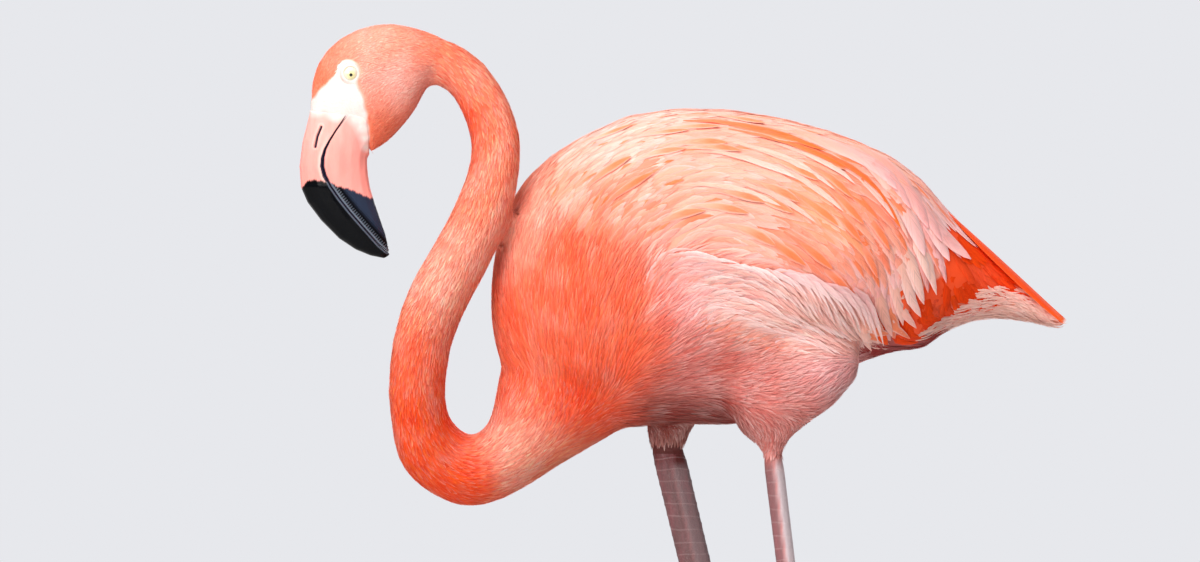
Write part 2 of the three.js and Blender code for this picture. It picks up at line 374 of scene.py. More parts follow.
# %% Streams
# Points of each stream, x and z in millimetres, from the roots towards the tips.
BODY_STREAMS = {
    "front of the breast": [(-142, 535), (-120, 575), (-133, 610), (-139, 655), (-134, 696), (-114, 737)],
    "back": [(-114, 737), (-81, 768), (-32, 786), (28, 789), (88, 776), (148, 752), (193, 713), (240, 672)],
    "breast to shoulder": [
        (-105, 535), (-92, 570), (-88, 625), (-80, 680), (-55, 722), (-18, 745), (36, 748),
    ],
    "upper wing": [(36, 748), (81, 732), (118, 706), (142, 672), (153, 630)],
    "breast to wing": [
        (-62, 560), (-55, 610), (-42, 655), (-20, 690), (13, 705), (55, 695), (92, 666), (112, 630),
    ],
    "flank": [(-25, 615), (13, 650), (54, 668), (95, 660), (125, 640), (138, 615)],
    "side": [(-60, 555), (-20, 578), (20, 598), (60, 614), (97, 622), (125, 616)],
    "belly": [(-85, 530), (-45, 550), (0, 562), (50, 566), (95, 572), (120, 592)],
    "wing tips": [(122, 720), (148, 690), (160, 655), (165, 620)],
    "rump": [(165, 735), (180, 700), (190, 665), (196, 635)],
    "tail": [(205, 690), (238, 664), (268, 644), (292, 628)],
    "undertail": [(165, 612), (190, 622), (215, 640), (240, 648), (262, 642), (282, 626)],
}
HEAD_STREAMS = {
    "crown": [(-281, 790), (-275, 821), (-261, 841), (-238, 853), (-212, 854), (-182, 844), (-150, 820)],
    "cheek": [(-262, 818), (-248, 828), (-227, 828), (-197, 825), (-160, 808)],
    "jaw": [(-243, 770), (-227, 790), (-208, 803), (-180, 815)],
    "chin": [(-234, 757), (-217, 771), (-204, 790), (-190, 808)],
}


def stream_arrows(streams):
    """Places every 8 mm along the streams, and their directions."""
    places, ways = [], []
    for line in streams.values():
        line = np.array(line, float)
        run = np.concatenate([[0], np.cumsum(np.linalg.norm(np.diff(line, axis=0), axis=1))])
        at = np.arange(0, run[-1], 8.0)
        path = np.stack([np.interp(at, run, line[:, k]) for k in (0, 1)], 1)
        way = np.gradient(path, axis=0)
        places.append(path)
        ways.append(way / np.linalg.norm(way, axis=1, keepdims=True))
    return np.concatenate(places), np.concatenate(ways)


BODY_ARROWS, HEAD_ARROWS = stream_arrows(BODY_STREAMS), stream_arrows(HEAD_STREAMS)


def arrows(points, guide, reach=10.0):
    """The streams' direction at points."""
    places, ways = guide
    away = ((points[:, None, [0, 2]] / mm - places[None]) ** 2).sum(2)
    mean = (1 / (away + reach**2) ** 2) @ ways
    return np.stack([mean[:, 0], np.zeros(len(points)), mean[:, 1]], 1)


arrow_count = len(BODY_ARROWS[0]) + len(HEAD_ARROWS[0])
print("streams:", len(BODY_STREAMS) + len(HEAD_STREAMS), "with", arrow_count, "arrows")

# %% [markdown]
# On the neck the stream simply follows the neck. Its line runs through the faces where two of its
# solids meet, which are found as the corners of one that lie against the other. The line could be
# typed in as well, but found in this way it always fits the solids.

# %% The neck's line


def corners(name):
    """The corners of one solid."""
    return np.array([v.co for v in node[name].data.vertices])


def shared_face(first, second):
    """The middle of the corners of one solid that lie against another."""
    a, b = corners(first), corners(second)
    near = np.sqrt(((a[:, None] - b[None]) ** 2).sum(2)).min(1) < 1.2 * mm
    return a[near].mean(0)


NECK = [f"neck_{i}" for i in range(1, 7)]
stops = []
for first, second in zip(["head"] + NECK, NECK):
    stops += [shared_face(first, second), corners(second).mean(0)]
stops = np.array(stops)
at = np.linspace(0, len(stops) - 1, 60)
neck_line = np.stack([np.interp(at, range(len(stops)), stops[:, k]) for k in range(3)], 1)
for _ in range(3):
    neck_line[1:-1] = (neck_line[:-2] + 2 * neck_line[1:-1] + neck_line[2:]) / 4
neck_run = np.gradient(neck_line, axis=0)
neck_run /= np.linalg.norm(neck_run, axis=1, keepdims=True)
print("neck line:", round(float(np.linalg.norm(np.diff(neck_line, axis=0), axis=1).sum() / mm)), "mm long")


def along_neck(points):
    """The direction of the neck's line near points, softened over some 18 mm."""
    away = ((points[:, None] / mm - neck_line[None] / mm) ** 2).sum(2)
    return np.exp(-(away - away.min(1, keepdims=True)) / 18**2) @ neck_run


# %% [markdown]
# ## The skin
# Under its feathers a bird is one unbroken skin, from the face to the toes. Copies of the flesh
# solids are swollen until they touch and wrapped by a voxel remesh in one surface of even small
# faces. The face, the legs and the feet each need finer faces than the body, so four wraps are
# made and joined by a Boolean union, which leaves one closed surface with no seam. The skin could be
# sculpted instead, but a wrap keeps to the measures of the solids.

# %% Clay and wraps


def as_mesh(shape):
    """Turns a bmesh into a mesh, and lets the bmesh go."""
    mesh = bpy.data.meshes.new("clay")
    shape.to_mesh(mesh)
    shape.free()
    return mesh


def joined(nodes, swell):
    """Copies of some nodes in one mesh, each grown outward a little."""
    shape = bmesh.new()
    for name in nodes:
        shape.from_mesh(node[name].data)
    bmesh.ops.remove_doubles(shape, verts=shape.verts, dist=1e-6)
    shape.normal_update()
    for corner in shape.verts:
        corner.co += corner.normal * swell
    return shape


def cut(shape, place, way, keep_beyond=False):
    """Cuts off what lies beyond a plane, or what lies before it, and closes the cut."""
    bmesh.ops.bisect_plane(
        shape, geom=shape.verts[:] + shape.edges[:] + shape.faces[:], plane_co=place, plane_no=way,
        clear_inner=keep_beyond, clear_outer=not keep_beyond,
    )
    bmesh.ops.holes_fill(shape, edges=shape.edges)


def baked(piece):
    """Applies all of a piece's modifiers."""
    settled = bpy.data.meshes.new_from_object(piece.evaluated_get(bpy.context.evaluated_depsgraph_get()))
    piece.modifiers.clear()
    old, piece.data = piece.data, settled
    bpy.data.meshes.remove(old)
    settled.shade_smooth()
    return piece


def wrapped(name, mesh, voxel, smooth, slot=None):
    """One even surface round a mesh, as a new object."""
    piece = placed(name, mesh, slot)
    wrap = piece.modifiers.new("wrap", "REMESH")
    wrap.mode, wrap.voxel_size = "VOXEL", voxel
    soften = piece.modifiers.new("soften", "SMOOTH")
    soften.factor, soften.iterations = 0.5, smooth
    return baked(piece)


def lattice(mesh):
    """A mesh's points, and the normals at them, as arrays."""
    count = len(mesh.vertices)
    points, normals = np.zeros(count * 3), np.zeros(count * 3)
    mesh.vertices.foreach_get("co", points)
    mesh.vertex_normals.foreach_get("vector", normals)
    return points.reshape(-1, 3), normals.reshape(-1, 3)


def move_points(mesh, points):
    """Puts a mesh's points at new places."""
    mesh.vertices.foreach_set("co", points.ravel())
    mesh.update()


# %% Which part of the body a point is on
SIDES = ("left", "right")
FLESH = {
    "head": ["head"],
    "neck": NECK,
    "trunk": ["trunk"],
    "wing": ["wing_left", "wing_right"],
    "tail": ["tail"],
    "undertail": ["undertail"],
    "thigh": ["thigh_left", "thigh_right"],
    "leg": [f"{part}_{side}" for side in SIDES for part in ("shank", "ankle", "tarsus")],
    "foot": [f"{part}_{side}" for side in SIDES for part in ("foot", "hind_toe")],
}
# How deep the coat is over each, in millimetres.
DEPTH = {
    "head": 0.6, "neck": 1.0, "trunk": 1.6, "wing": 1.6, "tail": 0.8,
    "undertail": 1.6, "thigh": 1.6, "leg": 0.1, "foot": 0.1,
}
PARTS = list(FLESH)
# Parts blend into their neighbours over about this many millimetres.
BLEND = 3.0


def tree_of(nodes):
    """A search tree of some solids' faces."""
    mesh = as_mesh(joined(nodes, 0))
    tree = BVHTree.FromPolygons([v.co for v in mesh.vertices], [p.vertices for p in mesh.polygons])
    bpy.data.meshes.remove(mesh)
    return tree


trees = [tree_of(nodes) for nodes in FLESH.values()]


def nearness(points):
    """The share that each body part has in each point."""
    away = np.array([[tree.find_nearest(p)[3] for tree in trees] for p in points.tolist()]) / mm
    share = np.exp(-away / BLEND)
    return share / share.sum(1, keepdims=True)


# %% [markdown]
# The face of a flamingo is naked and nearly white round the eye and down to the corner of the
# mouth. The patch is written as a few overlapping rounds on the side of the head, and skin, bill
# and feathers all ask the same function where it ends. A painted mask could hold it too, but each of
# the three would need its own.

# %% The naked face
# x, z and radius of each round, in millimetres.
FACE_ROUNDS = [
    (-250, 817, 9), (-254, 803, 12), (-264, 797, 9.5), (-274, 791, 6.5), (-248, 794, 10.5),
    (-258, 789, 8), (-242, 784, 7), (-238.5, 775, 4.4), (-237, 768, 3.2), (-236.4, 761, 2.2),
]


def naked(points, soft=2.0):
    """1 on the naked skin of the face and 0 away from it."""
    x, z = side_view(points)
    inside = sum(np.exp((r - np.hypot(x - a, z - b)) / 1.5) for a, b, r in FACE_ROUNDS)
    return np.clip(0.5 + 1.5 * np.log(inside) / soft, 0, 1)


# %% [markdown]
# Each eye sits in a low mound with a thick round lid. The lid is a small circle spun round the
# eye's axis, and the mound a flattened ball. Both are joined to the head's clay before it is
# wrapped, so that they melt into the face.

# %% Lids
eye_boxes = {side: [Vector(end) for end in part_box(f"eye_{side}")] for side in SIDES}
EYES = {side: low / 2 + high / 2 for side, (low, high) in eye_boxes.items()}
eye_radius = (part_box("eye_left")[1][0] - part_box("eye_left")[0][0]) / 2
head_middle = (EYES["left"].y + EYES["right"].y) / 2
LID_RADIUS, LID_TUBE = 5.9 * mm, 1.25 * mm


def outward(side):
    """The sign of y on a side of the bird."""
    return -1 if side == "left" else 1


def lid_and_mound(side):
    """A lid and its mound at one eye. Both are made round the Z axis and then turned to the side."""
    shape = bmesh.new()
    ring = bmesh.ops.create_circle(
        shape, segments=14, radius=LID_TUBE,
        matrix=Matrix.Translation((LID_RADIUS, 0, 0)) @ Matrix.Rotation(math.pi / 2, 4, "X"),
    )["verts"]
    edges = list({edge for corner in ring for edge in corner.link_edges})
    bmesh.ops.spin(
        shape, geom=ring + edges, cent=(0, 0, 0), axis=(0, 0, 1), angle=math.tau, steps=40, use_merge=True
    )
    stand = math.sqrt(eye_radius**2 - LID_RADIUS**2) + 0.1 * mm
    bmesh.ops.translate(shape, verts=shape.verts, vec=(0, 0, stand))
    mound_place = Matrix.Translation((1.4 * mm, 0.2 * mm, -2.6 * mm))
    mound_size = Matrix.Diagonal((9.6 * mm, 8.2 * mm, 5.6 * mm, 1))
    bmesh.ops.create_uvsphere(
        shape, u_segments=32, v_segments=16, radius=1, matrix=mound_place @ mound_size
    )
    turn = Matrix.Rotation(math.pi / 2 * -outward(side), 4, "X")
    flip = Matrix.Diagonal((-1, 1, 1, 1))
    bmesh.ops.transform(shape, verts=shape.verts, matrix=Matrix.Translation(EYES[side]) @ turn @ flip)
    bmesh.ops.recalc_face_normals(shape, faces=shape.faces)
    return as_mesh(shape)


face_clay = joined(["head"], 0.3 * mm)
for side in SIDES:
    face_clay.from_mesh(lid_and_mound(side))
eyes_apart = EYES["right"].y - EYES["left"].y
print("eyes:", round(eye_radius * 2 / mm, 1), "mm across,", round(eyes_apart / mm), "mm apart")

# %% [markdown]
# The face's skin runs on a little way under the neck's skin and the bill's root, so that it ends
# in no ridge. At the upper half of the bill it stops above the nostril, which is pressed deeper
# into the horn than the skin lies.

# %% Hidden ends of the face
neck_way = neck_run[0]
dive = joined(["neck_1"], -1.4 * mm)
cut(dive, stops[0] + neck_way * 14 * mm, neck_way)
inner_end = [v for v in dive.verts if v.normal.dot(neck_way) < -0.8]
bmesh.ops.translate(dive, verts=inner_end, vec=neck_way * -3 * mm)
face_clay.from_mesh(as_mesh(dive))
for name, lowest in (("bill_upper", 779), ("bill_lower", 764)):
    root = joined([name], -0.3 * mm)
    cut(root, (0, 0, lowest * mm), (0, 0, 1), keep_beyond=True)
    bmesh.ops.translate(root, verts=[v for v in root.verts if v.normal.z > 0.8], vec=(0, 0, 2 * mm))
    face_clay.from_mesh(as_mesh(root))
print("face clay:", len(face_clay.faces), "faces")

# %% [markdown]
# Two helpers finish the wraps. The head of the solid has flats, which many rounds of smoothing take
# off everywhere but near the lids. Where the thighs meet the belly the wrap has a sharp crease,
# which is filled by raising only what is hollow.

# %% Smoothing and filling
# Where the thighs meet the belly.
over_thighs = within(-40, 118, 537, 618)


def smooth_away_from_eyes(mesh):
    """Takes the flats of the solid off the head, and leaves the lids crisp."""
    shape = bmesh.new()
    shape.from_mesh(mesh)
    far = [v for v in shape.verts if min((v.co - eye).length for eye in EYES.values()) > 13 * mm]
    every_way = {"use_axis_x": True, "use_axis_y": True, "use_axis_z": True}
    for _ in range(40):
        bmesh.ops.smooth_vert(shape, verts=far, factor=0.5, **every_way)
    shape.to_mesh(mesh)
    shape.free()


def fill_creases(mesh, where, rounds=60):
    """Raises hollows towards their surroundings, and leaves what bulges as it is."""
    ends = np.zeros(2 * len(mesh.edges), int)
    mesh.edges.foreach_get("vertices", ends)
    a, b = ends.reshape(-1, 2).T
    points, _ = lattice(mesh)
    many, chosen = len(points), where(points)
    count = np.bincount(np.concatenate([a, b]), minlength=many)
    for _ in range(rounds):
        points, normals = lattice(mesh)
        sums = [np.bincount(a, points[b, k], many) + np.bincount(b, points[a, k], many) for k in range(3)]
        hollow = ((np.stack(sums, 1) / count[:, None] - points) * normals).sum(1)
        move_points(mesh, points + normals * (np.maximum(hollow, 0) * chosen * 0.8)[:, None])


# %% [markdown]
# The shanks are lengthened upwards into the thighs, so that the legs grow out from under the
# feathers once the body's skin has been drawn in.

# %% Leg clay
leg_clay = joined(FLESH["leg"], 0.25 * mm)
leg_clay.verts.ensure_lookup_table()
for side in SIDES:
    low, high = (Vector(end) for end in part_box(f"shank_{side}"))
    top = [v for v in leg_clay.verts if v.co.z > high.z - 0.6 * mm and (v.co.y < 0) == (side == "left")]
    foot_end = corners(f"shank_{side}")
    foot_end = foot_end[foot_end[:, 2] < low.z + 1 * mm].mean(0)
    way = (sum((v.co for v in top), Vector()) / len(top) - Vector(foot_end)).normalized()
    bmesh.ops.translate(leg_clay, verts=top, vec=way * 24 * mm)
print("leg clay:", len(leg_clay.faces), "faces")

# %% [markdown]
# The feet take the lower end of the leg into their own finer clay, so that the join is soft. A
# short bridge roots each hind toe in the back of the leg.

# %% Foot clay
feet_clay = joined(FLESH["foot"], 0.2 * mm)
for side in SIDES:
    shin = joined([f"tarsus_{side}"], 0.3 * mm)
    bmesh.ops.translate(shin, verts=[v for v in shin.verts if v.co.z < 19 * mm], vec=(0, 0, -9 * mm))
    cut(shin, (0, 0, 62 * mm), (0, 0, 1))
    feet_clay.from_mesh(as_mesh(shin))
    low, high = (Vector(end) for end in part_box(f"hind_toe_{side}"))
    toe_root = Vector((low.x + 4 * mm, (low.y + high.y) / 2, high.z - 4.5 * mm))
    in_leg = toe_root + Vector((-8 * mm, 0, 3 * mm))
    way = toe_root - in_leg
    bmesh.ops.create_cone(
        feet_clay, cap_ends=True, segments=16, radius1=4.6 * mm, radius2=3.1 * mm, depth=way.length,
        matrix=Matrix.Translation((toe_root + in_leg) / 2) @ way.to_track_quat("Z", "Y").to_matrix().to_4x4(),
    )
print("feet clay:", len(feet_clay.faces), "faces")

# %% [markdown]
# Each wrap is then drawn in by the depth of the coat there, so that the tips of the feathers, and
# not their roots, come to the surface of the solids. The naked face isn't drawn in.

# %% Wrapping and drawing in
feathered = [name for part in PARTS if part not in ("leg", "foot") for name in FLESH[part]]
# The clay of each wrap, the size of its faces, and how many rounds smooth it.
WRAPS = {
    "body": (joined(feathered, 0.8 * mm), 3.8 * mm, 12),
    "face": (face_clay, 1.0 * mm, 3),
    "legs": (leg_clay, 1.9 * mm, 2),
    "feet": (feet_clay, 1.15 * mm, 6),
}
skins = {}
for name, (clay, voxel, smooth) in WRAPS.items():
    skins[name] = wrapped(name, as_mesh(clay), voxel, smooth)
    if name == "face":
        smooth_away_from_eyes(skins[name].data)
    if name == "body":
        fill_creases(skins[name].data, over_thighs)
    points, normals = lattice(skins[name].data)
    share = nearness(points)
    depth = share @ np.array([DEPTH[part] for part in PARTS]) * mm
    if name == "body":
        depth += share[:, PARTS.index("head")] ** 2 * 1.2 * mm
    if name == "face":
        depth *= 1 - naked(points)
    move_points(skins[name].data, points - normals * depth[:, None])
    print(name, "wrap:", len(points), "points, drawn in by up to", round(depth.max() / mm, 1), "mm")

skin = skins["body"]
skin.name = "skin"
for name in ("face", "legs", "feet"):
    union = skin.modifiers.new(name, "BOOLEAN")
    union.operation, union.solver, union.object = "UNION", "MANIFOLD", skins[name]
baked(skin)
for name in ("face", "legs", "feet"):
    bpy.data.objects.remove(skins[name])
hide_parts(*sum(FLESH.values(), []))
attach(skin, "root")

# %% [markdown]
# The export paints each tuft from a small patch of a flat map of the skin. So the skin is
# unwrapped once, by its own shape, and every tuft takes its patch at the place of its root.

# %% Unwrapping the skin
bpy.context.view_layer.objects.active = skin
skin.select_set(True)
bpy.ops.object.mode_set(mode="EDIT")
bpy.ops.mesh.select_all(action="SELECT")
bpy.ops.mesh.quads_convert_to_tris()
bpy.ops.uv.smart_project(angle_limit=math.radians(66), island_margin=0.002)
bpy.ops.object.mode_set(mode="OBJECT")
skin.select_set(False)
skin.data.uv_layers[0].name = "OFBake"
spots, flat = lattice(skin.data)
faces = np.zeros(len(skin.data.polygons) * 3, int)
skin.data.polygons.foreach_get("vertices", faces)
faces = faces.reshape(-1, 3)
flat_map = np.zeros(len(faces) * 6)
skin.data.uv_layers["OFBake"].data.foreach_get("uv", flat_map)
flat_map = flat_map.reshape(-1, 3, 2)
skin_tree = BVHTree.FromPolygons(spots.tolist(), faces.tolist())
corner = spots[faces]
face_area = np.linalg.norm(np.cross(corner[:, 1] - corner[:, 0], corner[:, 2] - corner[:, 0]), axis=1) / 2
share = nearness(spots)
face_part = share[faces].mean(1).argmax(1)
print("skin:", len(faces), "triangles,", round(face_area.sum(), 3), "square metres")

# %% [markdown]
# The legs are a mauve pink, paler behind and darker towards the joints, with a thin line of coral along them.
# The right leg is painted darker, as shade of the body, and painted shade of the thighs lies on the top of
# both. The feet have one even tint.

# %% Leg tints


def paint_points(mesh, values, name="plumage"):
    """Keeps a colour at each of a mesh's points, in a layer that its finish reads."""
    layer = mesh.color_attributes.new(name, "FLOAT_COLOR", "POINT")
    layer.data.foreach_set("color", np.concatenate([values, np.ones((len(values), 1))], 1).ravel())


LEG = paint_box(
    mauve=(134, 88, 90), lilac=(212, 194, 198), coral=(206, 110, 104), maroon=(84, 22, 20),
    foot=(176, 120, 120),
)
# How light each leg is, and how strong its pale rear and its coral line are. The right leg is painted darker
# and with less pale rear: painted shade of the body.
LEG_SHARES = {"left": (1, 1, 0.6), "right": (0.6, 0.3, 0.15)}
# Heights in millimetres: the foot's own tint runs into the leg's between the first two. It is darkest at the
# ankle and at the foot's joint, and painted shade of the thighs darkens the top of both legs, most of all of
# the right one.
FOOT_TOP, LEG_FROM = 14, 48
ANKLE, FOOT_JOINT, RIGHT_TOP, BOTH_TOPS = 331, 12, 519, 522
x, y, z = spots.T / mm
leg_spots = np.unique(faces[face_part == PARTS.index("leg")])
leg_tint = np.tile(LEG["foot"], (len(spots), 1))
for side, (light, rear_share, line_share) in LEG_SHARES.items():
    own = leg_spots[(y[leg_spots] < 0) == (side == "left")]
    upper = z[own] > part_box(f"ankle_{side}")[1][2] / mm
    for part, spread in ((own[upper], 9), (own[~upper], 7)):
        aside = (x[part] - np.polyval(np.polyfit(z[part], x[part], 1), z[part])) / spread
        rear = np.clip(aside * 3 + 0.6, 0, 1)[:, None] * rear_share
        tint = (LEG["mauve"] * (1 - rear) + LEG["lilac"] * rear) * light
        line = np.exp(-((aside / 0.12) ** 2))[:, None] * line_share
        tint = tint * (1 - line) + LEG["coral"] * line
        high = np.clip((z[part] - FOOT_TOP) / (LEG_FROM - FOOT_TOP), 0, 1)[:, None]
        leg_tint[part] = LEG["foot"] * (1 - high) + tint * high
dark = 0.55 * np.exp(-(((z - ANKLE) / 18) ** 2)) + 0.4 * np.exp(-(((z - FOOT_JOINT) / 14) ** 2))
# Painted shade of the thighs on the top of the legs, most of all the right one.
dark += 0.9 * np.clip((z - RIGHT_TOP) / 7, 0, 1) * (y > 0) + 0.3 * np.clip((z - BOTH_TOPS) / 8, 0, 1)
dark = np.clip(dark, 0, 1)[:, None]
leg_tint = leg_tint * (1 - dark) + LEG["maroon"] * dark
print("leg points:", len(leg_spots))

# %% [markdown]
# The rest of the skin asks the plumage for its colour, with a maroon hem of painted shade low on the right
# thigh. The naked face goes over that, with painted shade in the fold round each lid, and where the bill
# covers the skin it takes the bill's pink.

# %% Skin colours
NAKED = paint_box(white=(233, 220, 214), bill=(252, 168, 156), lid=(206, 160, 148))
# The lid paint is painted shade for the fold round each lid, which lies this far from the eye's middle and is
# this wide, in millimetres.
FOLD_RADIUS, FOLD_WIDTH = 7.7, 0.8
# In millimetres: the top and front of the hem of painted shade, and the top and rear of what the bill covers.
HEM_TOP, HEM_FRONT, BILL_TOP, BILL_REAR = 541, -60, 790, -236
on_leg = (share[:, PARTS.index("leg")] + share[:, PARTS.index("foot")])[:, None]
face_mask = naked(spots)[:, None]
hide = plumage(spots, red_margin=-14) * 0.97
# Painted shade: a maroon hem low on the right thigh.
hem = (np.clip((HEM_TOP - z) / 4, 0, 1) * (y > 0) * (x > HEM_FRONT) * 0.9)[:, None]
hide = hide * (1 - hem) + LEG["maroon"] * hem
hide = hide * (1 - face_mask) + NAKED["white"] * face_mask
from_eye = np.hypot(x - EYES["left"].x / mm, z - EYES["left"].z / mm)
# Painted shade in the fold round each lid.
fold = 0.45 * np.exp(-(((from_eye - FOLD_RADIUS) / FOLD_WIDTH) ** 2))[:, None] * face_mask
hide = hide * (1 - fold) + NAKED["lid"] * fold
by_bill = (np.clip((BILL_TOP - z) / 2, 0, 1) * np.clip((BILL_REAR - x) / 2, 0, 1))[:, None]
pale_root = naked(spots, 5.0)[:, None]
hide = hide * (1 - by_bill) + (NAKED["bill"] * (1 - pale_root) + NAKED["white"] * pale_root) * by_bill
paint_points(skin.data, hide * (1 - on_leg) + leg_tint * on_leg)
print("naked points:", int((face_mask > 0.5).sum()))

# %% [markdown]
# The skin has three finishes. Under the coat it is down of the coat's own colour. On the face it
# is pale and finely wrinkled, and on the legs it carries overlapping plates in front and small
# round scales elsewhere.

# %% Skin finishes
down = Finish("down")
fluff = down.bump(down.noise(420.0), 0.3, 0.0006)
skin.data.materials.clear()
skin.data.materials.append(down.surface(Base_Color=down.painted("plumage"), Roughness=0.7, Normal=fluff))
bare_skin = Finish("face_skin")
wrinkle = bare_skin.noise(520.0, 5.0, 0.65)
flush = bare_skin.noise(90.0, 3.0)
skin.data.materials.append(
    bare_skin.surface(
        Base_Color=bare_skin.scaled(bare_skin.painted("plumage"), flush * 0.16 + wrinkle * 0.2 + 0.8),
        Roughness=0.5, Subsurface_Weight=0.1, Subsurface_Scale=0.002,
        Normal=bare_skin.bump(wrinkle, 0.7, 0.0007),
    )
)
scaly = Finish("scaled_skin")
place = scaly.here()
bands = scaly.node(
    "TexWave", {"wave_type": "BANDS", "bands_direction": "Z"}, 1, Vector=place, Scale=36.0, Distortion=7.0,
    Detail=2.0, Detail_Scale=0.35,
)
rim_line = bands.step(0.965, 0.03)
small = scaly.node("TexVoronoi", {"feature": "DISTANCE_TO_EDGE"}, Vector=place, Scale=420.0)
groove = small.step(0.05, 0.12) * 0.5 - rim_line * 0.4
mottle = scaly.noise(60.0, 5.0, 0.65, scaly.node("Mapping", Vector=place, Scale=(1.0, 1.0, 0.2)))
stain = mottle.step(0.54, 0.14)
leg_colour = scaly.mix(stain * 0.35, scaly.painted("plumage"), colour(150, 84, 92))
leg_colour = scaly.mix(rim_line * mottle * 0.2, leg_colour, colour(226, 200, 200))
skin.data.materials.append(
    scaly.surface(
        Base_Color=scaly.scaled(leg_colour, mottle * 0.3 + 0.85), Roughness=0.42,
        Normal=scaly.bump(groove + mottle * 0.4, 0.5, 0.0005),
    )
)
kind = np.zeros(len(faces), int)
kind[face_mask[faces].mean(1)[:, 0] > 0.3] = 1
kind[face_part >= PARTS.index("leg")] = 2
skin.data.polygons.foreach_set("material_index", kind)
skin.data.update()
print("skin faces under the coat, naked, scaled:", np.bincount(kind).tolist())

# %% [markdown]
# ## Growing feathers
# A feather or tuft here is a long thin closed solid with a low ridge. It starts at a root on the
# skin and takes a few steps along the stream, coming back to the skin after each one and rising a
# little, so that its tip lies over the roots of those behind it. Where the skin falls away it goes
# on by itself and hangs. Blender's hair could strew them too, but a strand of hair has no vane, and
# the pieces have to be real meshes in the end. All the feathers of a piece take each step together,
# as arrays, and are joined in one mesh.

# %% Roots on the skin


def unit(vectors):
    """The same directions with a length of one."""
    return vectors / np.maximum(np.linalg.norm(vectors, axis=-1, keepdims=True), 1e-9)


def on_skin(points):
    """The nearest place on the skin to each point, and the normal there."""
    hits = [skin_tree.find_nearest(p) for p in points.tolist()]
    normal = flat[faces[[hit[2] for hit in hits]]].mean(1)
    return np.array([hit[0] for hit in hits]), unit(normal)


def scattered(wanted, across, along, part, keep):
    """Roots strewn over the skin's faces marked in `wanted`, spaced across and along the stream."""
    weight = face_area * wanted
    count = int(2.4 * weight.sum() / (across * along))
    face = chance.choice(len(faces), count, p=weight / weight.sum())
    u, v = chance.random((2, count))
    u, v = np.where(u + v > 1, 1 - u, u), np.where(u + v > 1, 1 - v, v)
    a, b, c = np.moveaxis(spots[faces[face]], 1, 0)
    points = a + (b - a) * u[:, None] + (c - a) * v[:, None]
    kept = keep(points)
    points, face = points[kept], face[kept]
    way = stream(points, unit(flat[faces[face]].mean(1)), part, np.zeros(len(points)))
    taken, chosen = {}, []
    around = [(i, j, k) for i in (-1, 0, 1) for j in (-1, 0, 1) for k in (-1, 0, 1)]
    for i, (a, b, c) in enumerate(np.floor(points / along).astype(int).tolist()):
        near = [n for p, q, r in around for n in taken.get((a + p, b + q, c + r), ())]
        apart = points[near] - points[i]
        run = apart @ way[i]
        gap = (apart**2).sum(1) - run**2
        if ((run / along) ** 2 + gap / across**2 > 1).all():
            taken.setdefault((a, b, c), []).append(i)
            chosen.append(i)
    return points[chosen], face[chosen]


# %% Steps along the stream


def stream(points, normals, part, turn):
    """The way that feathers of a body part lie at points, turned aside by an angle of their own."""
    way = unit(arrows(points, HEAD_ARROWS if part == "head" else BODY_ARROWS))
    if part == "neck":
        base = np.clip((points[:, [0]] / mm + 140) / 40, 0, 1) * (points[:, [2]] < 600 * mm)
        way = unit(along_neck(points)) * (1 - base) + way * base
    if part == "thigh":
        low = np.clip((575 - points[:, [2]] / mm) / 30, 0, 1)
        way = way * (1 - low) + np.array([[-0.1, 0, -1]]) * low
    way = unit(way - normals * (way * normals).sum(1, keepdims=True))
    aside = np.cross(normals, way)
    return unit(way * np.cos(turn)[:, None] + aside * np.sin(turn)[:, None])


def walked(roots, part, length, rings, wander, cling):
    """Spines of feathers: their points, normals and directions at each ring."""
    turn = chance.normal(0, wander, len(roots))
    place, normal = on_skin(roots)
    way = stream(place, normal, part, turn)
    run = [(place, normal, way)]
    for step in np.diff(rings):
        stride = (length * step)[:, None]
        ahead = place + way * stride
        back, facing = on_skin(ahead)
        free = np.linalg.norm(back - ahead, axis=1)[:, None] > cling * stride
        place = np.where(free, ahead, back)
        normal = unit(np.where(free, normal, normal * 0.4 + facing * 0.6))
        onward = stream(place, normal, part, turn)
        way = np.where(free, way, way * 0.6 + onward)
        way = unit(way - normal * (way * normal).sum(1, keepdims=True))
        run.append((place, normal, way))
    return [np.stack(list(column), 1) for column in zip(*run)]


# %% [markdown]
# Small feathers are a ridge with three corners across it, and the long ones of wing and tail have
# four, so their middle is flat. Colour is set at every corner, which lets a feather be deep along
# its middle and pale round its rim, as most of this bird's are.

# %% Feathers into a mesh
RIDGE = np.array([(-1, 0), (0, 1), (1, 0)])
VANE = np.array([(-1, 0), (-0.5, 1), (0.5, 1), (1, 0)])
# How far the shading of a feather turns round its middle, and the size of its patch on the flat map.
ROUNDNESS, PATCH = 0.4, 0.003


def patch_places(points, face):
    """Where points of the skin lie on its flat map."""
    a, b, c = np.moveaxis(spots[faces[face]], 1, 0)
    ab, ac, ap = b - a, c - a, points - a
    d00, d01, d11 = (ab * ab).sum(1), (ab * ac).sum(1), (ac * ac).sum(1)
    d20, d21 = (ap * ab).sum(1), (ap * ac).sum(1)
    whole = np.maximum(d00 * d11 - d01 * d01, 1e-18)
    v = np.clip((d11 * d20 - d01 * d21) / whole, 0, 1)
    w = np.clip((d00 * d21 - d01 * d20) / whole, 0, 1)
    return (flat_map[face] * np.stack([1 - v - w, v, w], 1)[:, :, None]).sum(1)


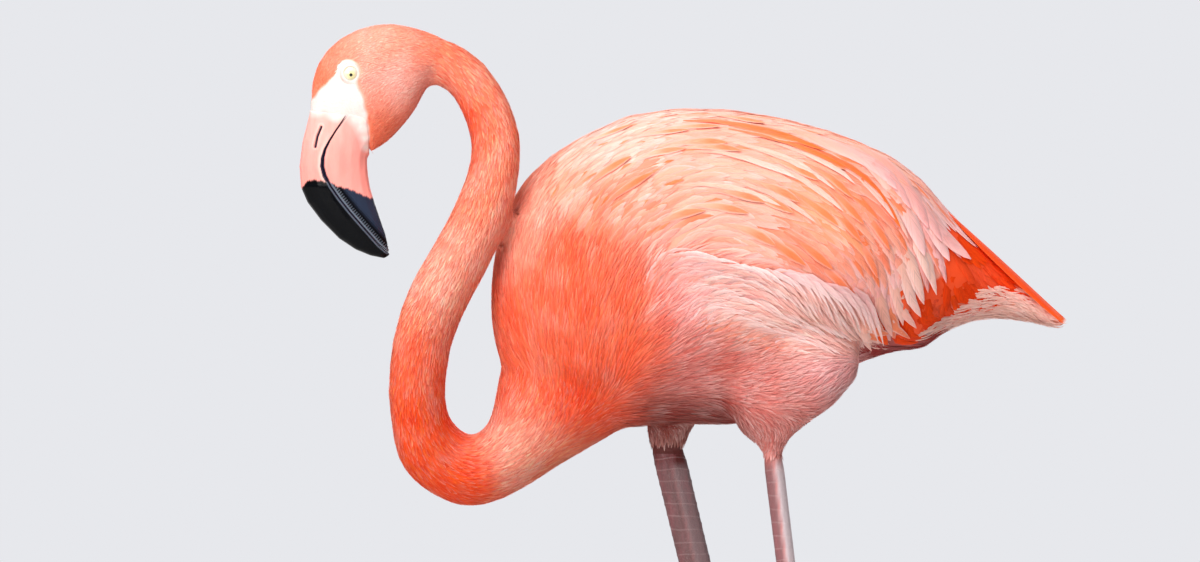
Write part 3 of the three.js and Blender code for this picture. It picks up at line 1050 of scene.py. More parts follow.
def coat_mesh(name, spine, half, height, camber, section, tints, home):
    """Joins feathers in one mesh. tints has a colour for every feather, ring and corner."""
    place, normal, way = spine
    count, rings = place.shape[:2]
    wide = len(section)
    side = np.cross(way, normal)
    across, rise = section[:, 0], section[:, 1]
    points = (
        (place + normal * height[:, :, None])[:, :, None]
        + side[:, :, None] * (half[:, :, None] * across)[..., None]
        + normal[:, :, None] * (camber[:, :, None] * (rise - 1))[..., None]
    ).reshape(-1, 3)

    corner = np.arange(wide)
    ahead = (corner + 1) % wide
    around = np.stack([corner, ahead, ahead + wide, corner + wide], 1)
    walls = (np.arange(rings - 1)[:, None, None] * wide + around).reshape(-1, 4)
    last = wide * (rings - 1)
    one = np.concatenate([walls.ravel(), corner[::-1], last + corner])
    sizes = np.tile([4] * len(walls) + [wide, wide], count)
    loops = (np.arange(count)[:, None] * rings * wide + one).ravel()

    mesh = bpy.data.meshes.new(name)
    mesh.vertices.add(len(points))
    mesh.vertices.foreach_set("co", points.ravel())
    mesh.loops.add(len(loops))
    mesh.loops.foreach_set("vertex_index", loops.astype(np.int32))
    mesh.polygons.add(len(sizes))
    mesh.polygons.foreach_set("loop_start", np.concatenate([[0], np.cumsum(sizes)[:-1]]).astype(np.int32))
    mesh.polygons.foreach_set("use_smooth", np.ones(len(sizes), bool))
    mesh.update(calc_edges=True)
    paint_points(mesh, tints.reshape(-1, 3))

    # The upper face takes the body's own normals, a little rounded, so that the coat looks soft.
    upper = unit(normal[:, :, None] + side[:, :, None] * (across * ROUNDNESS)[:, None])
    upper = upper.reshape(count, -1, 3)[:, one]
    below = np.repeat(-normal, wide, 1)[:, one]
    under = np.concatenate([np.repeat(np.tile(corner == wide - 1, rings - 1), 4), np.zeros(2 * wide, bool)])
    facing = np.where(under[None, :, None], below, upper)
    facing[:, -2 * wide : -wide] = -way[:, :1]
    facing[:, -wide:] = way[:, -1:]
    mesh.normals_split_custom_set(facing.reshape(-1, 3))

    # The vane's own map is in millimetres: across from the shaft, and along from the root.
    run = np.linalg.norm(np.diff(place, axis=1), axis=2).cumsum(1)
    run = np.concatenate([np.zeros((count, 1)), run], 1)
    shape_map = np.stack([half[:, :, None] * across / mm, np.repeat(run[:, :, None], wide, 2) / mm], 3)
    mesh.uv_layers.new(name="vane").data.foreach_set("uv", shape_map.reshape(-1, 2)[loops].ravel())
    unit_map = np.stack(np.broadcast_arrays(across[None, None] / 2, (run / run[:, -1:] - 0.5)[:, :, None]), 3)
    patch = home[:, None, None] + unit_map * PATCH
    mesh.uv_layers.new(name="OFBake").data.foreach_set("uv", patch.reshape(-1, 2)[loops].ravel())

    mesh.materials.append(FEATHER)
    placed(name, mesh, "plumage")
    triangles = count * (2 * wide * (rings - 1) + 2 * (wide - 2))
    print(f"{name}: {count} feathers, {triangles} triangles")


# %% [markdown]
# One finish serves all the feathers. The barbs leave the shaft at a narrow angle, so they show as
# fine silky streaks. There are far too many to model, so the finish draws them on each feather's own
# map, and a slow noise keeps neighbours from matching.

# %% Feather finish
vane = Finish("feather")
own_map = vane.node("UVMap", {"uv_map": "vane"})
apart = vane.tree.nodes.new("ShaderNodeSeparateXYZ")
vane.tree.links.new(own_map.socket, apart.inputs[0])
across, along = (Shade(vane.tree, apart.outputs[i]) for i in (0, 1))
barb_line = across.size() - along * 0.3
place = vane.here()
drift = vane.noise(35.0, 2.0, at=place)
silk_place = vane.node("CombineXYZ", X=barb_line * 1.2, Y=along * 0.02, Z=drift * 4)
silk = vane.noise(1.0, 4.0, 0.65, silk_place)
shade = silk * 0.8 + drift * 0.14 + 0.52
FEATHER = vane.surface(
    Base_Color=vane.scaled(vane.painted("plumage"), shade), Roughness=0.8,
    Subsurface_Weight=0.2, Subsurface_Scale=0.004,
    Specular_IOR_Level=0.12, Normal=vane.bump(silk, 0.35, 0.0005),
)
vane.shader.inputs["Subsurface Radius"].default_value = (1.0, 0.4, 0.25)

# %% [markdown]
# ## Laying the coat
# The recipe for each tract of feathers gives their spacing, length and width, how far the tips
# stand from the skin, and how pale the rim is beside the middle. They are smallest on the head and
# longest on the wing and tail.

# %% Forms and the recipe
# For each form: where its rings lie along it, how wide it is at each, and its section.
FORM = {
    "down": ([0, 0.5, 1], [0.8, 1, 0.12], RIDGE),
    "lock": ([0, 0.3, 0.62, 0.86, 1], [0.6, 1, 0.82, 0.42, 0.04], RIDGE),
    "wisp": ([0, 0.22, 0.46, 0.7, 0.88, 1], [0.5, 1, 0.85, 0.5, 0.22, 0.03], RIDGE),
    "blade": ([0, 0.3, 0.55, 0.74, 0.87, 0.95, 1], [0.45, 0.9, 1, 0.92, 0.7, 0.42, 0.08], VANE),
    "flame": ([0, 0.25, 0.5, 0.7, 0.85, 0.95, 1], [0.3, 0.6, 0.9, 1, 0.72, 0.34, 0.03], VANE),
    "plume": ([0, 0.18, 0.36, 0.54, 0.7, 0.84, 0.94, 1], [0.4, 0.8, 1, 1, 0.9, 0.7, 0.4, 0.05], VANE),
}
# The part of the face's skin that the bill covers.
bill_side = within(rear=-237, high=788)


def slow_noise(points, size):
    """Smooth noise between about -1 and 1 at points, with features of a size in millimetres."""
    return np.array([noise.noise(Vector(p) / (size * mm)) for p in points.tolist()])


def paler(tint, share):
    """A tint moved towards the pale of worn feather rims."""
    return tint * (1 - share) + (0.6 * PAINT["petal"] + 0.4 * np.sqrt(tint)) * share


def patched(tint, amount):
    """Paler where the amount is above 0 and deeper where it is below."""
    return paler(tint, np.clip(amount, 0, 0.7)) ** (1 - np.clip(amount, -0.8, 0) * np.array([0.1, 0.8, 0.9]))


def feather_tints(near, far, rings, section, rim, tip, flecks, patch):
    """A colour for each feather, ring and corner, from the colours at its root and tip."""
    many, t = len(near), rings[None, :, None]
    deeper = np.exp(chance.normal(0, flecks, (many, 1, 1))) ** np.array([0.25, 1, 1])
    body = np.minimum((near[:, None] * (1 - t) + far[:, None] * t) * deeper, 0.98)
    spot = np.where(chance.random((many, 1, 1)) < patch, chance.uniform(0.85, 1.0, (many, 1, 1)), 0)
    spot = spot * np.clip((t - 0.35) / 0.3, 0, 1)
    pale = tip * 3 * chance.random((many, 1, 1)) ** 2 * t**2 * (1 - spot)
    middle = paler(body, pale * 0.6) * (1 - spot) + PAINT["orange"] * spot
    edge = paler(body, np.clip(rim + pale, 0, 0.9))
    outer = (section[:, 0] ** 2)[None, None, :, None]
    return middle[:, :, None] * (1 - outer) + edge[:, :, None] * outer


def lay(
    name, part, form, spacing, length, width, keep, depth=None, rim=0.15, tip=0.1, flecks=0.0,
    patch=0.0, wander=0.14, cling=0.7, flat_part=0.08, root_colour=0.5, blotch=0.25, paint=None,
):
    """Covers body parts with feathers. Sizes are in millimetres, and spacing is across and along."""
    rings, shape, section = (np.array(item) for item in FORM[form])
    wanted = np.isin(face_part, [PARTS.index(p) for p in part.split()]).astype(float)
    part = part.split()[0]
    across, along = spacing
    roots, face = scattered(
        wanted, across * mm, along * mm, part, lambda p: keep(p) & (naked(p) < 0.4) & ~bill_side(p)
    )
    many = len(roots)
    long = length * mm * chance.uniform(0.8, 1.2, many)
    half = width / 2 * mm * chance.uniform(0.85, 1.15, (many, 1)) * shape
    spine = walked(roots, part, long, rings, wander, cling)
    top = (depth or DEPTH[part]) * mm * chance.uniform(0.9, 1.06, (many, 1))
    height = -0.3 * mm + (top + 0.3 * mm) * rings**0.8
    patchy = blotch * slow_noise(roots * np.array([1.0, 1.0, 0.6]), 13)[:, None]
    near, far = (patched(plumage(place), patchy) for place in (roots, spine[0][:, -1]))
    far = near * root_colour + far * (1 - root_colour)
    if paint:
        near = far = patched(np.tile(PAINT[paint], (many, 1)), patchy)
    tints = feather_tints(near, far, rings, section, rim, tip, flecks, patch)
    coat_mesh(name, spine, half, height, half * flat_part * 2, section, tints, patch_places(roots, face))


# %% [markdown]
# The plumage of the head and neck is a dense plush of very short tufts. A rough finish alone could
# stand for it, but its outline would be hard, so tufts a millimetre or two apart are laid there
# too, and their tips break the edge. The neck is laid in three stretches.

# %% Head and neck
lay(
    "coat_face", "head", "down", (0.8, 1.2), 4.0, 1.3, keep=within(rear=-225),
    rim=0.05, flecks=0.12, wander=0.08,
)
lay(
    "coat_head", "head", "down", (0.9, 1.4), 5.0, 1.5, keep=within(front=-225),
    rim=0.05, flecks=0.12, wander=0.08,
)
lay(
    "coat_neck_upper", "neck", "lock", (1.0, 2.2), 9, 1.5, keep=within(low=660),
    rim=0.05, tip=0.2, flecks=0.26, wander=0.1, blotch=0.25, depth=0.8,
)
for name, low, high in (("coat_neck_middle", 560, 660), ("coat_neck_lower", 0, 560)):
    lay(
        name, "neck", "lock", (1.05, 2.3), 9.5, 1.6, keep=within(low=low, high=high),
        rim=0.05, tip=0.18, flecks=0.26, wander=0.12, blotch=0.28, depth=0.8,
    )

# %% [markdown]
# On the breast and belly the feathers are longer and lie in looser locks. The thighs end in a fringe over the
# bare leg, a little higher on the right one, and behind them a strip of painted shade divides the belly from
# the undertail. Each is a recipe of its own, with a function that chooses its place.

# %% Breast, belly and thighs


def vent(points):
    """Chooses the strip of painted shade between the belly and the undertail."""
    return within(124, 190, high=619)(points) & ~over_cushion(points)


def stocking(points):
    """Chooses the foot of each thigh. The feathers end a little higher on the right one."""
    height = side_view(points)[1]
    return (height > 534 + 7 * (points[:, 1] > 0)) & (height <= 556)


lay(
    "coat_breast", "trunk", "lock", (1.1, 3.2), 17, 1.9, keep=within(rear=-30), rim=0.06, tip=0.1,
    flecks=0.16, wander=0.1, blotch=0.22, depth=1.1,
)
lay(
    "coat_belly", "trunk", "lock", (1.2, 3.6), 20, 2.1, keep=lambda p: within(-30)(p) & ~vent(p),
    rim=0.06, tip=0.08, flecks=0.16, wander=0.14, blotch=0.4, depth=1.2,
)
# Painted shade: the strip's feathers all take the deep garnet.
lay(
    "coat_vent", "undertail trunk", "lock", (1.3, 3.0), 14, 2.0, keep=vent, rim=0.05, tip=0.05, flecks=0.2,
    wander=0.15, paint="garnet",
)
lay(
    "coat_thighs", "thigh", "lock", (1.1, 2.6), 14, 1.8, keep=within(low=550), rim=0.12, tip=0.25,
    flecks=0.14, wander=0.16, cling=3,
)
lay(
    "coat_stockings", "thigh leg", "lock", (1.2, 2.2), 7, 1.8, keep=stocking,
    depth=1.2, rim=0.2, tip=0.3, flecks=0.12, wander=0.14, cling=3,
)

# %% [markdown]
# ## Wings
# The wing's feathers lie like shingles in long rows. Broad coverts cover it, a few of them with an
# orange middle. The flame red secondaries show only behind them, and long pale plumes are drawn
# one by one over the edge, from where they leave the wing to where they hang. A recipe could lay
# those too, but the eye goes to them first, so each has a place of its own. Both wings get the same
# ones, each on its own surface.

# %% Coverts and secondaries
lay(
    "coat_secondaries", "wing trunk", "blade", (4.5, 10), 40, 8,
    keep=lambda p: behind_coverts(p, -16) & over_cushion(p) & within(rear=225)(p), depth=0.8,
    rim=0.0, tip=0.0, flecks=0.12, wander=0.05, flat_part=0.03, blotch=0.1, paint="ember",
)
lay(
    "coat_wing_cover", "wing", "flame", (3, 11), 46, 6.5, keep=within(-60, 120), depth=0.7, rim=0.35,
    tip=0.2, patch=0.06, flecks=0.06, wander=0.06, flat_part=0.03, root_colour=1.0, blotch=0.4,
)
lay(
    "coat_wing_rear", "wing", "flame", (4, 14), 66, 8.5,
    keep=lambda p: within(85)(p) & ~behind_coverts(p, -60), depth=0.9, rim=0.35, tip=0.2, patch=0.1,
    flecks=0.06, wander=0.04, flat_part=0.02, root_colour=1.0, blotch=0.3,
)
lay(
    "coat_shoulder", "wing", "flame", (2.4, 6.5), 24, 4.2, keep=within(rear=-30), rim=0.3, tip=0.2, depth=0.8,
    patch=0.06, flecks=0.08, wander=0.08, flat_part=0.04, blotch=0.5,
)

# %% [markdown]
# A plume is told by where its tip lies in the side view. From there its line is traced back along
# the streams, and rays from the side find the skin under each of its rings. Where a ray misses, or
# lands on another part of the body, the plume hangs free, and what hangs is kept short.

# %% Plumes drawn one by one
# Rays start this far beside the bird, in metres.
BESIDE = 0.3
# A change of depth by more than this between two rings means that the skin has fallen away.
LEAP = 14 * mm
# The share that is left of what hangs free.
HANG = 0.45


def traced(tips, length, curl=0.0, steps=6):
    """Lines that end at tips, given by x and z in millimetres, and come to them along the streams."""
    at = np.array(tips, float)[:, :2]
    lines = [at]
    for step in range(steps):
        way = arrows(np.insert(at * mm, 1, 0, axis=1), BODY_ARROWS)[:, [0, 2]]
        way = unit(way) + np.array([0, -curl]) * (1 - 2 * step / (steps - 1))
        at = at - unit(way) * length / steps
        lines.append(at)
    return np.stack(lines[::-1], 1)


def plumes(
    name, tips, length, width, rise, form="plume", paint=None, painted=1.0, rim=0.3, tip=0.1, patch=0.0,
    flecks=0.06, curl=0.0,
):
    """Plumes that end at chosen places, on both sides of the bird."""
    rings, shape, section = (np.array(item) for item in FORM[form])
    lines = traced(tips, length, curl)
    even = np.linspace(0, 1, lines.shape[1])
    places, normals, homes = [], [], []
    for way in (-1, 1):
        for line in lines:
            x, z = (np.interp(rings, even, line[:, k]) for k in (0, 1))
            spine, facing, home, held = [], [], None, 0
            for a, b in zip(x * mm, z * mm):
                start = Vector((a, way * BESIDE, b))
                hit, normal, face, _ = skin_tree.ray_cast(start, Vector((0, -way, 0)))
                if hit is None or spine and abs(hit.y - spine[-1][1]) > LEAP:
                    free, normal = Vector((a, spine[-1][1], b)), Vector(facing[-1])
                    near = skin_tree.find_nearest(free)[0]
                    hit = near.lerp(free, 0.3) if (near - free).length < LEAP else free
                else:
                    home = home or (np.array(hit), face)
                    held = len(spine)
                spine.append(list(hit))
                facing.append(list(normal))
            spine, facing = np.array(spine), np.array(facing)
            spine[held:] = spine[held] + (spine[held:] - spine[held]) * HANG
            for _ in range(2):
                facing[1:-1] = (facing[:-2] + facing[1:-1] + facing[2:]) / 3
                spine[1:-1, 1] = (spine[:-2, 1] + spine[1:-1, 1] + spine[2:, 1]) / 3
            places.append(spine)
            normals.append(unit(facing))
            homes.append(home)
    place, normal = np.array(places), np.array(normals)
    way = unit(np.gradient(place, axis=1))
    normal = unit(normal - way * (normal * way).sum(2, keepdims=True))
    many = len(place)
    half = width / 2 * mm * chance.uniform(0.85, 1.15, (many, 1)) * shape
    height = np.resize(rise, many)[:, None] * mm * chance.uniform(0.85, 1.15, (many, 1))
    height = height * (0.2 + 0.8 * rings**0.8)
    near = far = plumage(place[:, 0], red_margin=40)
    if paint:
        share = np.resize(painted, many)[:, None]
        near, far = (near * (1 - share) + PAINT[tint] * share for tint in paint)
    tints = feather_tints(near, far, rings, section, rim, tip, flecks, patch)
    home = patch_places(np.array([h[0] for h in homes]), np.array([h[1] for h in homes]))
    coat_mesh(name, (place, normal, way), half, height, half * 0.08, section, tints, home)


# %% Where the wing's plumes end
HANGING = [
    (128, 617), (134, 613), (140, 611), (145, 609), (150, 611), (154, 610), (159, 613),
    (164, 614), (169, 620), (173, 628), (176, 636), (178, 645), (155, 622), (163, 630),
]
plumes("plumes_hanging", HANGING, 84, 10, 2.2, paint=("blush", "peach"), rim=0.45, tip=0.35, patch=0.25)
POINTED = [(187, 652), (182, 661), (178, 648)]
plumes("plumes_pointed", POINTED, 88, 10, 2.6, form="flame", paint=("blush", "shell"), rim=0.4, tip=0.3)
TERTIALS = [(213, 677), (206, 683), (197, 676), (191, 690), (181, 700), (178, 680), (168, 714), (158, 728)]
plumes("plumes_tertial", TERTIALS, 96, 17, 2.4, paint=("blush", "mauve"), rim=0.35, tip=0.1)
ORANGE_ENDED = [
    (61, 778), (28, 775), (85, 763), (133, 703), (114, 702), (86, 719), (81, 711), (60, 719),
    (68, 687), (90, 673), (110, 670), (131, 690), (2, 759), (-38, 753), (33, 763), (43, 757),
    (16, 713), (48, 711), (120, 743), (100, 735), (125, 722), (-37, 777), (5, 773), (70, 744),
    (-22, 741), (104, 648), (124, 652), (143, 664), (152, 684),
]
plumes("plumes_orange", ORANGE_ENDED, 46, 7.5, 2.0, form="flame", rim=0.4, tip=0.0, patch=1.0)
STREAKS = [(160, 700), (152, 716), (144, 726), (134, 736), (120, 744), (106, 756), (90, 764)]
plumes("plumes_streaked", STREAKS, 92, 7, 2.6, form="flame", paint=("salmon", "orange"), rim=0.15, tip=0.0)
SILVERY = [
    (166, 692), (156, 706), (148, 720), (127, 732), (96, 742), (84, 736), (112, 728), (118, 712),
    (98, 704), (72, 716),
]
plumes("plumes_silvery", SILVERY, 80, 5, 2.2, form="flame", paint=("blush", "shell"), rim=0.4, tip=0.2)
BETWEEN = [(149, 622), (152, 615), (166, 636)]
plumes("plumes_between", BETWEEN, 26, 7, 1.6, form="blade", paint=("flame", "flame"), rim=0)

# %% [markdown]
# ## Flank
# Soft plumes of the flank sweep up and back over the lower edge of the folded wing and end in
# loose pale curls.

# %% Flank plumes
WING_EDGE = ([-60, -24, 5, 43, 88, 122, 140, 150], [660, 676, 680, 670, 649, 634, 622, 612])


def flank(points):
    """Chooses the band of the side just under the edge of the folded wing."""
    x, z = side_view(points)
    edge = np.interp(x, *WING_EDGE)
    return (x > -34) & (x < 120) & (z < edge - 2) & (z > edge - 46)


lay(
    "coat_flank", "trunk wing thigh", "wisp", (1.6, 4), 28, 3.0, keep=flank, depth=1.8, rim=0.15, tip=0.2,
    flecks=0.12, wander=0.16, blotch=0.5,
)
for row in range(6):
    x = np.arange(-14 + 5 * row, 138 - 4 * row, 2.8)
    x = x[chance.random(len(x)) < np.clip((x + 20) / 60, 0.15, 1)]
    x = x + chance.uniform(-2, 2, len(x))
    z = np.interp(x, *WING_EDGE) - 1 - 6 * row + chance.uniform(-2.5, 2.5, len(x))
    grown = np.clip((x + 25) / 80, 0, 1)
    plumes(
        f"plumes_flank_{row + 1}", np.stack([x, z], 1), 34, 5.0, (1.2 + 2.6 * grown) * (1 - 0.08 * row),
        form="wisp", rim=0.3, tip=0.3, flecks=0.1, curl=0.6, painted=grown,
        paint=("salmon", "petal") if row % 2 else ("mauve", "shell"),
    )

x = np.arange(2, 150, 5.0)
z = np.interp(x, *WING_EDGE) + 3 + chance.uniform(-2, 2, len(x))
rise = 1.6 + 2.0 * np.clip((x + 20) / 80, 0, 1) + 6 * np.clip((x - 96) / 40, 0, 1)
plumes(
    "plumes_flank_crest", np.stack([x, z], 1), 44, 6, rise, form="wisp", paint=("mauve", "petal"),
    painted=np.clip((x + 20) / 60, 0, 1), rim=0.5, tip=0.3, curl=0.5,
)

# %% [markdown]
# ## Tail
# The tail is a short fan of twelve stiff blades, flame red, over a soft pale cushion of undertail
# coverts. Feathers strewn by a recipe would end raggedly, so the blades are set out side by side.
# They run from the rump to an even edge, the middle ones on top. Their height is a curve through
# the top of the skin, found by rays from above along the middle of the tail.

# %% Tail blades
# Where the blades start along x, and how wide the fan is to each side there and at its end.
FAN_START, FAN_ROOT, FAN_EDGE = 198, 15, 32


def tail_fan(name, count=12, width=13.0):
    """Blades over the tail's upper side, from the rump to the tail's end."""
    rings, shape, section = (np.array(item) for item in FORM["plume"])
    order = np.linspace(-1, 1, count)[:, None]
    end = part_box("tail")[1][0] / mm - 1
    x = FAN_START + (end - 3 * order**2 - FAN_START) * rings
    y = (FAN_ROOT + (FAN_EDGE - FAN_ROOT) * rings) * order
    middle = [skin_tree.ray_cast(Vector((a * mm, 0, 0.9)), Vector((0, 0, -1)))[0] for a in x[0]]
    crown = np.array([hit.z / mm if hit else np.nan for hit in middle])
    known = ~np.isnan(crown)
    z = np.polyval(np.polyfit(x[0][known], crown[known], 2), x) - 5 * (y / FAN_EDGE) ** 2
    place = np.stack([x, y, z], 2) * mm
    along = unit(np.gradient(place, axis=1))
    normal = unit(np.stack([np.zeros_like(x), 10 * y / FAN_EDGE**2, np.ones_like(x)], 2))
    normal = unit(normal - along * (normal * along).sum(2, keepdims=True))
    half = width / 2 * mm * np.tile(shape, (count, 1))
    lift = (0.3 + 0.9 * (1 - np.abs(order))) * mm * (0.3 + 0.7 * rings)
    red = np.tile(PAINT["flame"], (count, 1))
    tints = feather_tints(red, red, rings, section, 0.04, 0.0, 0.12, 0.0)
    hits = [skin_tree.find_nearest(p) for p in place[:, 0].tolist()]
    home = patch_places(np.array([hit[0] for hit in hits]), np.array([hit[2] for hit in hits]))
    coat_mesh(name, (place, normal, along), half, lift, half * 0.06, section, tints, home)


tail_fan("tail_blades")

# %% Rump and undertail
lay(
    "coat_rump", "tail wing trunk", "blade", (4, 9), 32, 8,
    keep=lambda p: behind_coverts(p) & over_cushion(p, 8) & within(rear=262)(p), rim=0.02, tip=0.0,
    flecks=0.06, wander=0.05, flat_part=0.03, blotch=0.1, paint="ember",
)


def under_tail(points):
    """Chooses the pale cushion, whose edge draws back from the blades towards the tail's end."""
    margin = np.interp(side_view(points)[0], (225, 240), (4, -1.5))
    return within(170, 272)(points) & ~vent(points) & ~over_cushion(points, margin)


lay(
    "coat_undertail", "undertail tail trunk wing", "wisp", (1.3, 3.2), 15, 2.4, keep=under_tail, depth=2.0,
    rim=0.3, tip=0.3, flecks=0.06, wander=0.2, root_colour=1.0, paint="shell",
)

# %% [markdown]
# ## Bill
# The two mandibles are wrapped finely, and drawn a little way up into the face so that no crack shows at
# their root. Their colour is worked out corner by corner: naked skin at the root, pink to the bend, and black
# beyond it, with a line of painted shade where the two close. An image on the bill could do the same, but the
# corners lie just over half a millimetre apart, which is fine enough.

# %% Mandibles


def mandible(name):
    """One half of the bill as a fine wrap, with its root drawn up into the face."""
    shape = joined([name], 0.1 * mm)
    root = [v for v in shape.verts if v.normal.z > 0.8 and v.co.z > 760 * mm]
    bmesh.ops.translate(shape, verts=root, vec=(0.5 * mm, 0, 3 * mm))
    return wrapped(name + "_horn", as_mesh(shape), 0.6 * mm, 12, "bill")


horn = {name: mandible(name) for name in ("bill_upper", "bill_lower")}
for name, piece in horn.items():
    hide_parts(name)
    print(piece.name, len(piece.data.polygons), "faces")

# %% [markdown]
# The border of the black and the width of the line of painted shade in the gape are told by how far each
# corner is from the other half. The nostril and the comb are also carved a little, not only painted: the slit
# is painted dark as shade, and the nostril's rim, the comb's ribs and the edges of the black are given
# painted highlight.

# %% Tones and edges


def smooth_step(value, low, high):
    """Runs softly from 0 to 1 between two limits."""
    share = np.clip((value - low) / (high - low), 0, 1)
    return share * share * (3 - 2 * share)


def mixed(first, second, share):
    """Moves colours towards another one by a share of their own."""
    return first * (1 - share[:, None]) + second * share[:, None]


# The line tone is painted shade, in the gape and in the nostril's slit. On the black, the edge tone is
# painted highlight along the edges and on the comb's ribs, and the slate tone is painted reflection on the
# lower half. The ridge tone is the horn's own pale, and also painted highlight round the nostril.
TONE = paint_box(
    pink=(252, 158, 148), ridge=(252, 204, 194), white=(238, 224, 218), black=(5, 6, 10),
    slate=(50, 60, 82), line=(34, 28, 48), edge=(120, 130, 146),
)
# The nostril is a slit in the upper half, and the lower half's edge is ribbed like a comb.
NOSTRIL = np.array([(-269.6, 776.3), (-272.4, 769.5), (-274.1, 761.3)])
COMB_STEP = 1.9


def away_from_slit(points):
    """How far points are from the nostril's slit in the side view, in millimetres."""
    flat_points = points[:, [0, 2]] / mm
    away = []
    for a, b in zip(NOSTRIL[:-1], NOSTRIL[1:]):
        along = np.clip((flat_points - a) @ (b - a) / ((b - a) ** 2).sum(), 0, 1)
        away.append(np.linalg.norm(flat_points - a - along[:, None] * (b - a), axis=1))
    return np.min(away, 0)


# Where the black begins on each half: x and z along its border, in millimetres.
BLACK_FROM = {
    "bill_upper": [(-288, 722), (-285, 729), (-281, 735.5), (-276, 737), (-266, 735.5)],
    "bill_lower": [(-268, 740), (-259, 732.5), (-248.5, 730), (-234, 723.5)],
}

# %% Painting and carving the horn
other = {"bill_upper": tree_of(["bill_lower"]), "bill_lower": tree_of(["bill_upper"])}
for name, piece in horn.items():
    points, normals = lattice(piece.data)
    x, z = side_view(points)
    gape = np.array([other[name].find_nearest(p)[3] for p in points.tolist()]) / mm
    border = np.interp(x, *np.array(BLACK_FROM[name]).T) + 0.4 * np.sin(x * 1.3) + 0.3 * np.sin(x * 3.7 + 1)
    black = smooth_step(border - z, -0.9, 0.9)
    pink_horn, black_horn = (np.tile(TONE[tone], (len(points), 1)) for tone in ("pink", "black"))
    tint = mixed(pink_horn, TONE["ridge"], smooth_step(z, 745, 785) * 0.35)
    line_width = 0.7 + 1.3 * smooth_step(-z, -775, -742) * (1 - black)
    if name == "bill_upper":
        tint = mixed(tint, TONE["ridge"], smooth_step(gape, 5, 2.6) * smooth_step(-z, -778, -750) * 0.8)
        # Painted highlight along the edge of the upper half's black.
        dark = mixed(black_horn, TONE["edge"], np.exp(-(((gape - 1.3) / 0.45) ** 2)) * 0.8)
    else:
        streaks = 0.5 + 0.5 * np.sin((x * 0.745 + z * 0.667) * 4.2)
        # Painted reflection: slate streaks over the lower half's black.
        dark = mixed(black_horn, TONE["slate"], smooth_step(gape, 5, 9) * (0.45 + 0.55 * streaks))
        # Painted highlight along the edge of the lower half's black.
        dark = mixed(dark, TONE["edge"], np.exp(-(((gape - 1.4) / 0.5) ** 2)))
        line_width = line_width * 0.6
    tint = tint * (1 - black[:, None]) + dark * black[:, None]
    tint = mixed(tint, TONE["white"], naked(points, 5.0))
    # Painted shade in the gape where the two halves close.
    tint = mixed(tint, TONE["line"], smooth_step(-gape, -line_width - 0.5, -line_width))
    if name == "bill_upper":
        slit = away_from_slit(points)
        beside = np.abs(points[:, 1] - head_middle) / mm > 4
        # Painted highlight round the nostril, and painted shade in its slit.
        tint = mixed(tint, TONE["ridge"], np.exp(-(((slit - 2.0) / 0.8) ** 2)) * beside * 0.35)
        tint = mixed(tint, TONE["line"], smooth_step(-slit, -1.1, -0.6) * beside)
        points = points - normals * (smooth_step(-slit, -1.3, -0.2) * beside * 1.3 * mm)[:, None]
        points = points + normals * (np.exp(-(((slit - 1.9) / 0.7) ** 2)) * beside * 0.25 * mm)[:, None]
    else:
        comb = np.sin((x * 0.667 - z * 0.745) * math.tau / COMB_STEP)
        comb = comb * black * smooth_step(gape, 1.6, 2.2) * smooth_step(-gape, -4.6, -4.0)
        # Painted highlight on the comb's ribs.
        tint = mixed(tint, TONE["edge"], np.clip(comb, 0, 1) * 0.5)
        points = points + normals * (comb * 0.22 * mm)[:, None]
    move_points(piece.data, points)
    paint_points(piece.data, tint, "horn")
    print(name, "black over", round(float((black > 0.5).mean()), 2), "of its points")

# %% Horn finish
glossy = Finish("horn")
grain = glossy.noise(120.0, 4.0, 0.6, glossy.node("Mapping", Vector=glossy.here(), Scale=(1.0, 1.0, 0.3)))
fine = glossy.noise(600.0, 3.0)
tone = glossy.painted("horn") * 1.0
HORN = glossy.surface(
    Base_Color=glossy.scaled(glossy.painted("horn"), grain * 0.5 + 0.74),
    Roughness=tone * 0.4 + grain * 0.1 + 0.08, Specular_IOR_Level=0.12,
    Subsurface_Weight=0.1, Subsurface_Scale=0.002, Normal=glossy.bump(grain + fine * 0.3, 0.2, 0.0004),
)
for piece in horn.values():
    piece.data.materials.append(HORN)

# %% [markdown]
# ## Eyes
# A flamingo's eye is pale yellow with a very small pupil. The ball is smooth and wet. Iris and pupil
# could be pieces of their own, but rings in the finish are enough at this size, drawn round an axis
# that both eyes share in the side view.

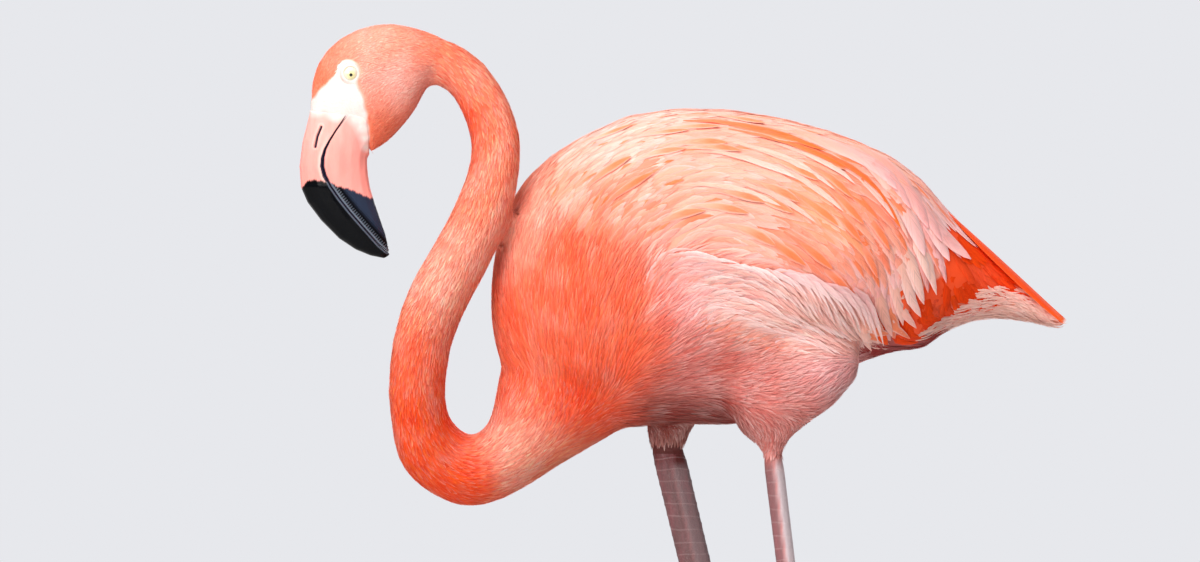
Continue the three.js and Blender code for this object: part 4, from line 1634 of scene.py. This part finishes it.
# %% Eyeballs
wet = Finish("wet_eye")
GAZE = EYES["left"] + Vector((0.5 * mm, 0, -1.3 * mm))
centred = wet.node("Mapping", {"vector_type": "POINT"}, Vector=wet.here(), Location=(-GAZE.x, 0, -GAZE.z))
flat_out = wet.node("Mapping", Vector=centred, Scale=(1000, 0, 1000))
ring = wet.node("VectorMath", {"operation": "LENGTH"}, 1, _0=flat_out)
rays = wet.noise(700.0, 2.0)
# The rings sit 1.3 mm below the ball's middle, as the pupil does, so the grey-white outer iris is widest
# above: in part the iris's own pale, in part painted shade of the upper lid.
iris = wet.mix(ring.step(3.2, 1.6), colour(240, 230, 168), colour(232, 224, 204))
iris = wet.scaled(iris, rays * 0.3 + 0.82)
iris = wet.mix(ring.step(5.6, 0.5), iris, colour(206, 176, 150))
iris = wet.mix(ring.step(6.6, 0.3), iris, colour(120, 94, 84))
ball_tint = wet.mix(1 - ring.step(1.2, 0.3), iris, colour(6, 6, 8))
WET = wet.surface(Base_Color=ball_tint, Roughness=0.12, Coat_Weight=0.6, Coat_Roughness=0.05)
for side in SIDES:
    shape = bmesh.new()
    bmesh.ops.create_uvsphere(
        shape, u_segments=48, v_segments=32, radius=eye_radius,
        matrix=Matrix.Translation(EYES[side]) @ Matrix.Rotation(math.pi / 2, 4, "X"),
    )
    ball = as_mesh(shape)
    ball.shade_smooth()
    ball.materials.append(WET)
    piece = placed(f"eyeball_{side}", ball, "eye")
    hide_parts(f"eye_{side}")

# %% [markdown]
# ## Claws
# Each toe ends in a short blunt claw of dark horn. The six solids are wrapped together, which
# rounds all their edges at once, where a bevel would have to suit each of them.

# %% Claws
CLAWS = [f"claw_{toe}_{side}" for side in SIDES for toe in ("inner", "middle", "outer")]
claws = wrapped("claws", as_mesh(joined(CLAWS, 0.15 * mm)), 0.5 * mm, 3, "claw")
nail = Finish("claw_horn")
streak = nail.noise(300.0, 3.0)
claws.data.materials.append(
    nail.surface(
        Base_Color=nail.mix(streak, colour(48, 38, 36), colour(92, 74, 68)), Roughness=0.42,
        Normal=nail.bump(streak, 0.3, 0.0003),
    )
)
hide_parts(*CLAWS)
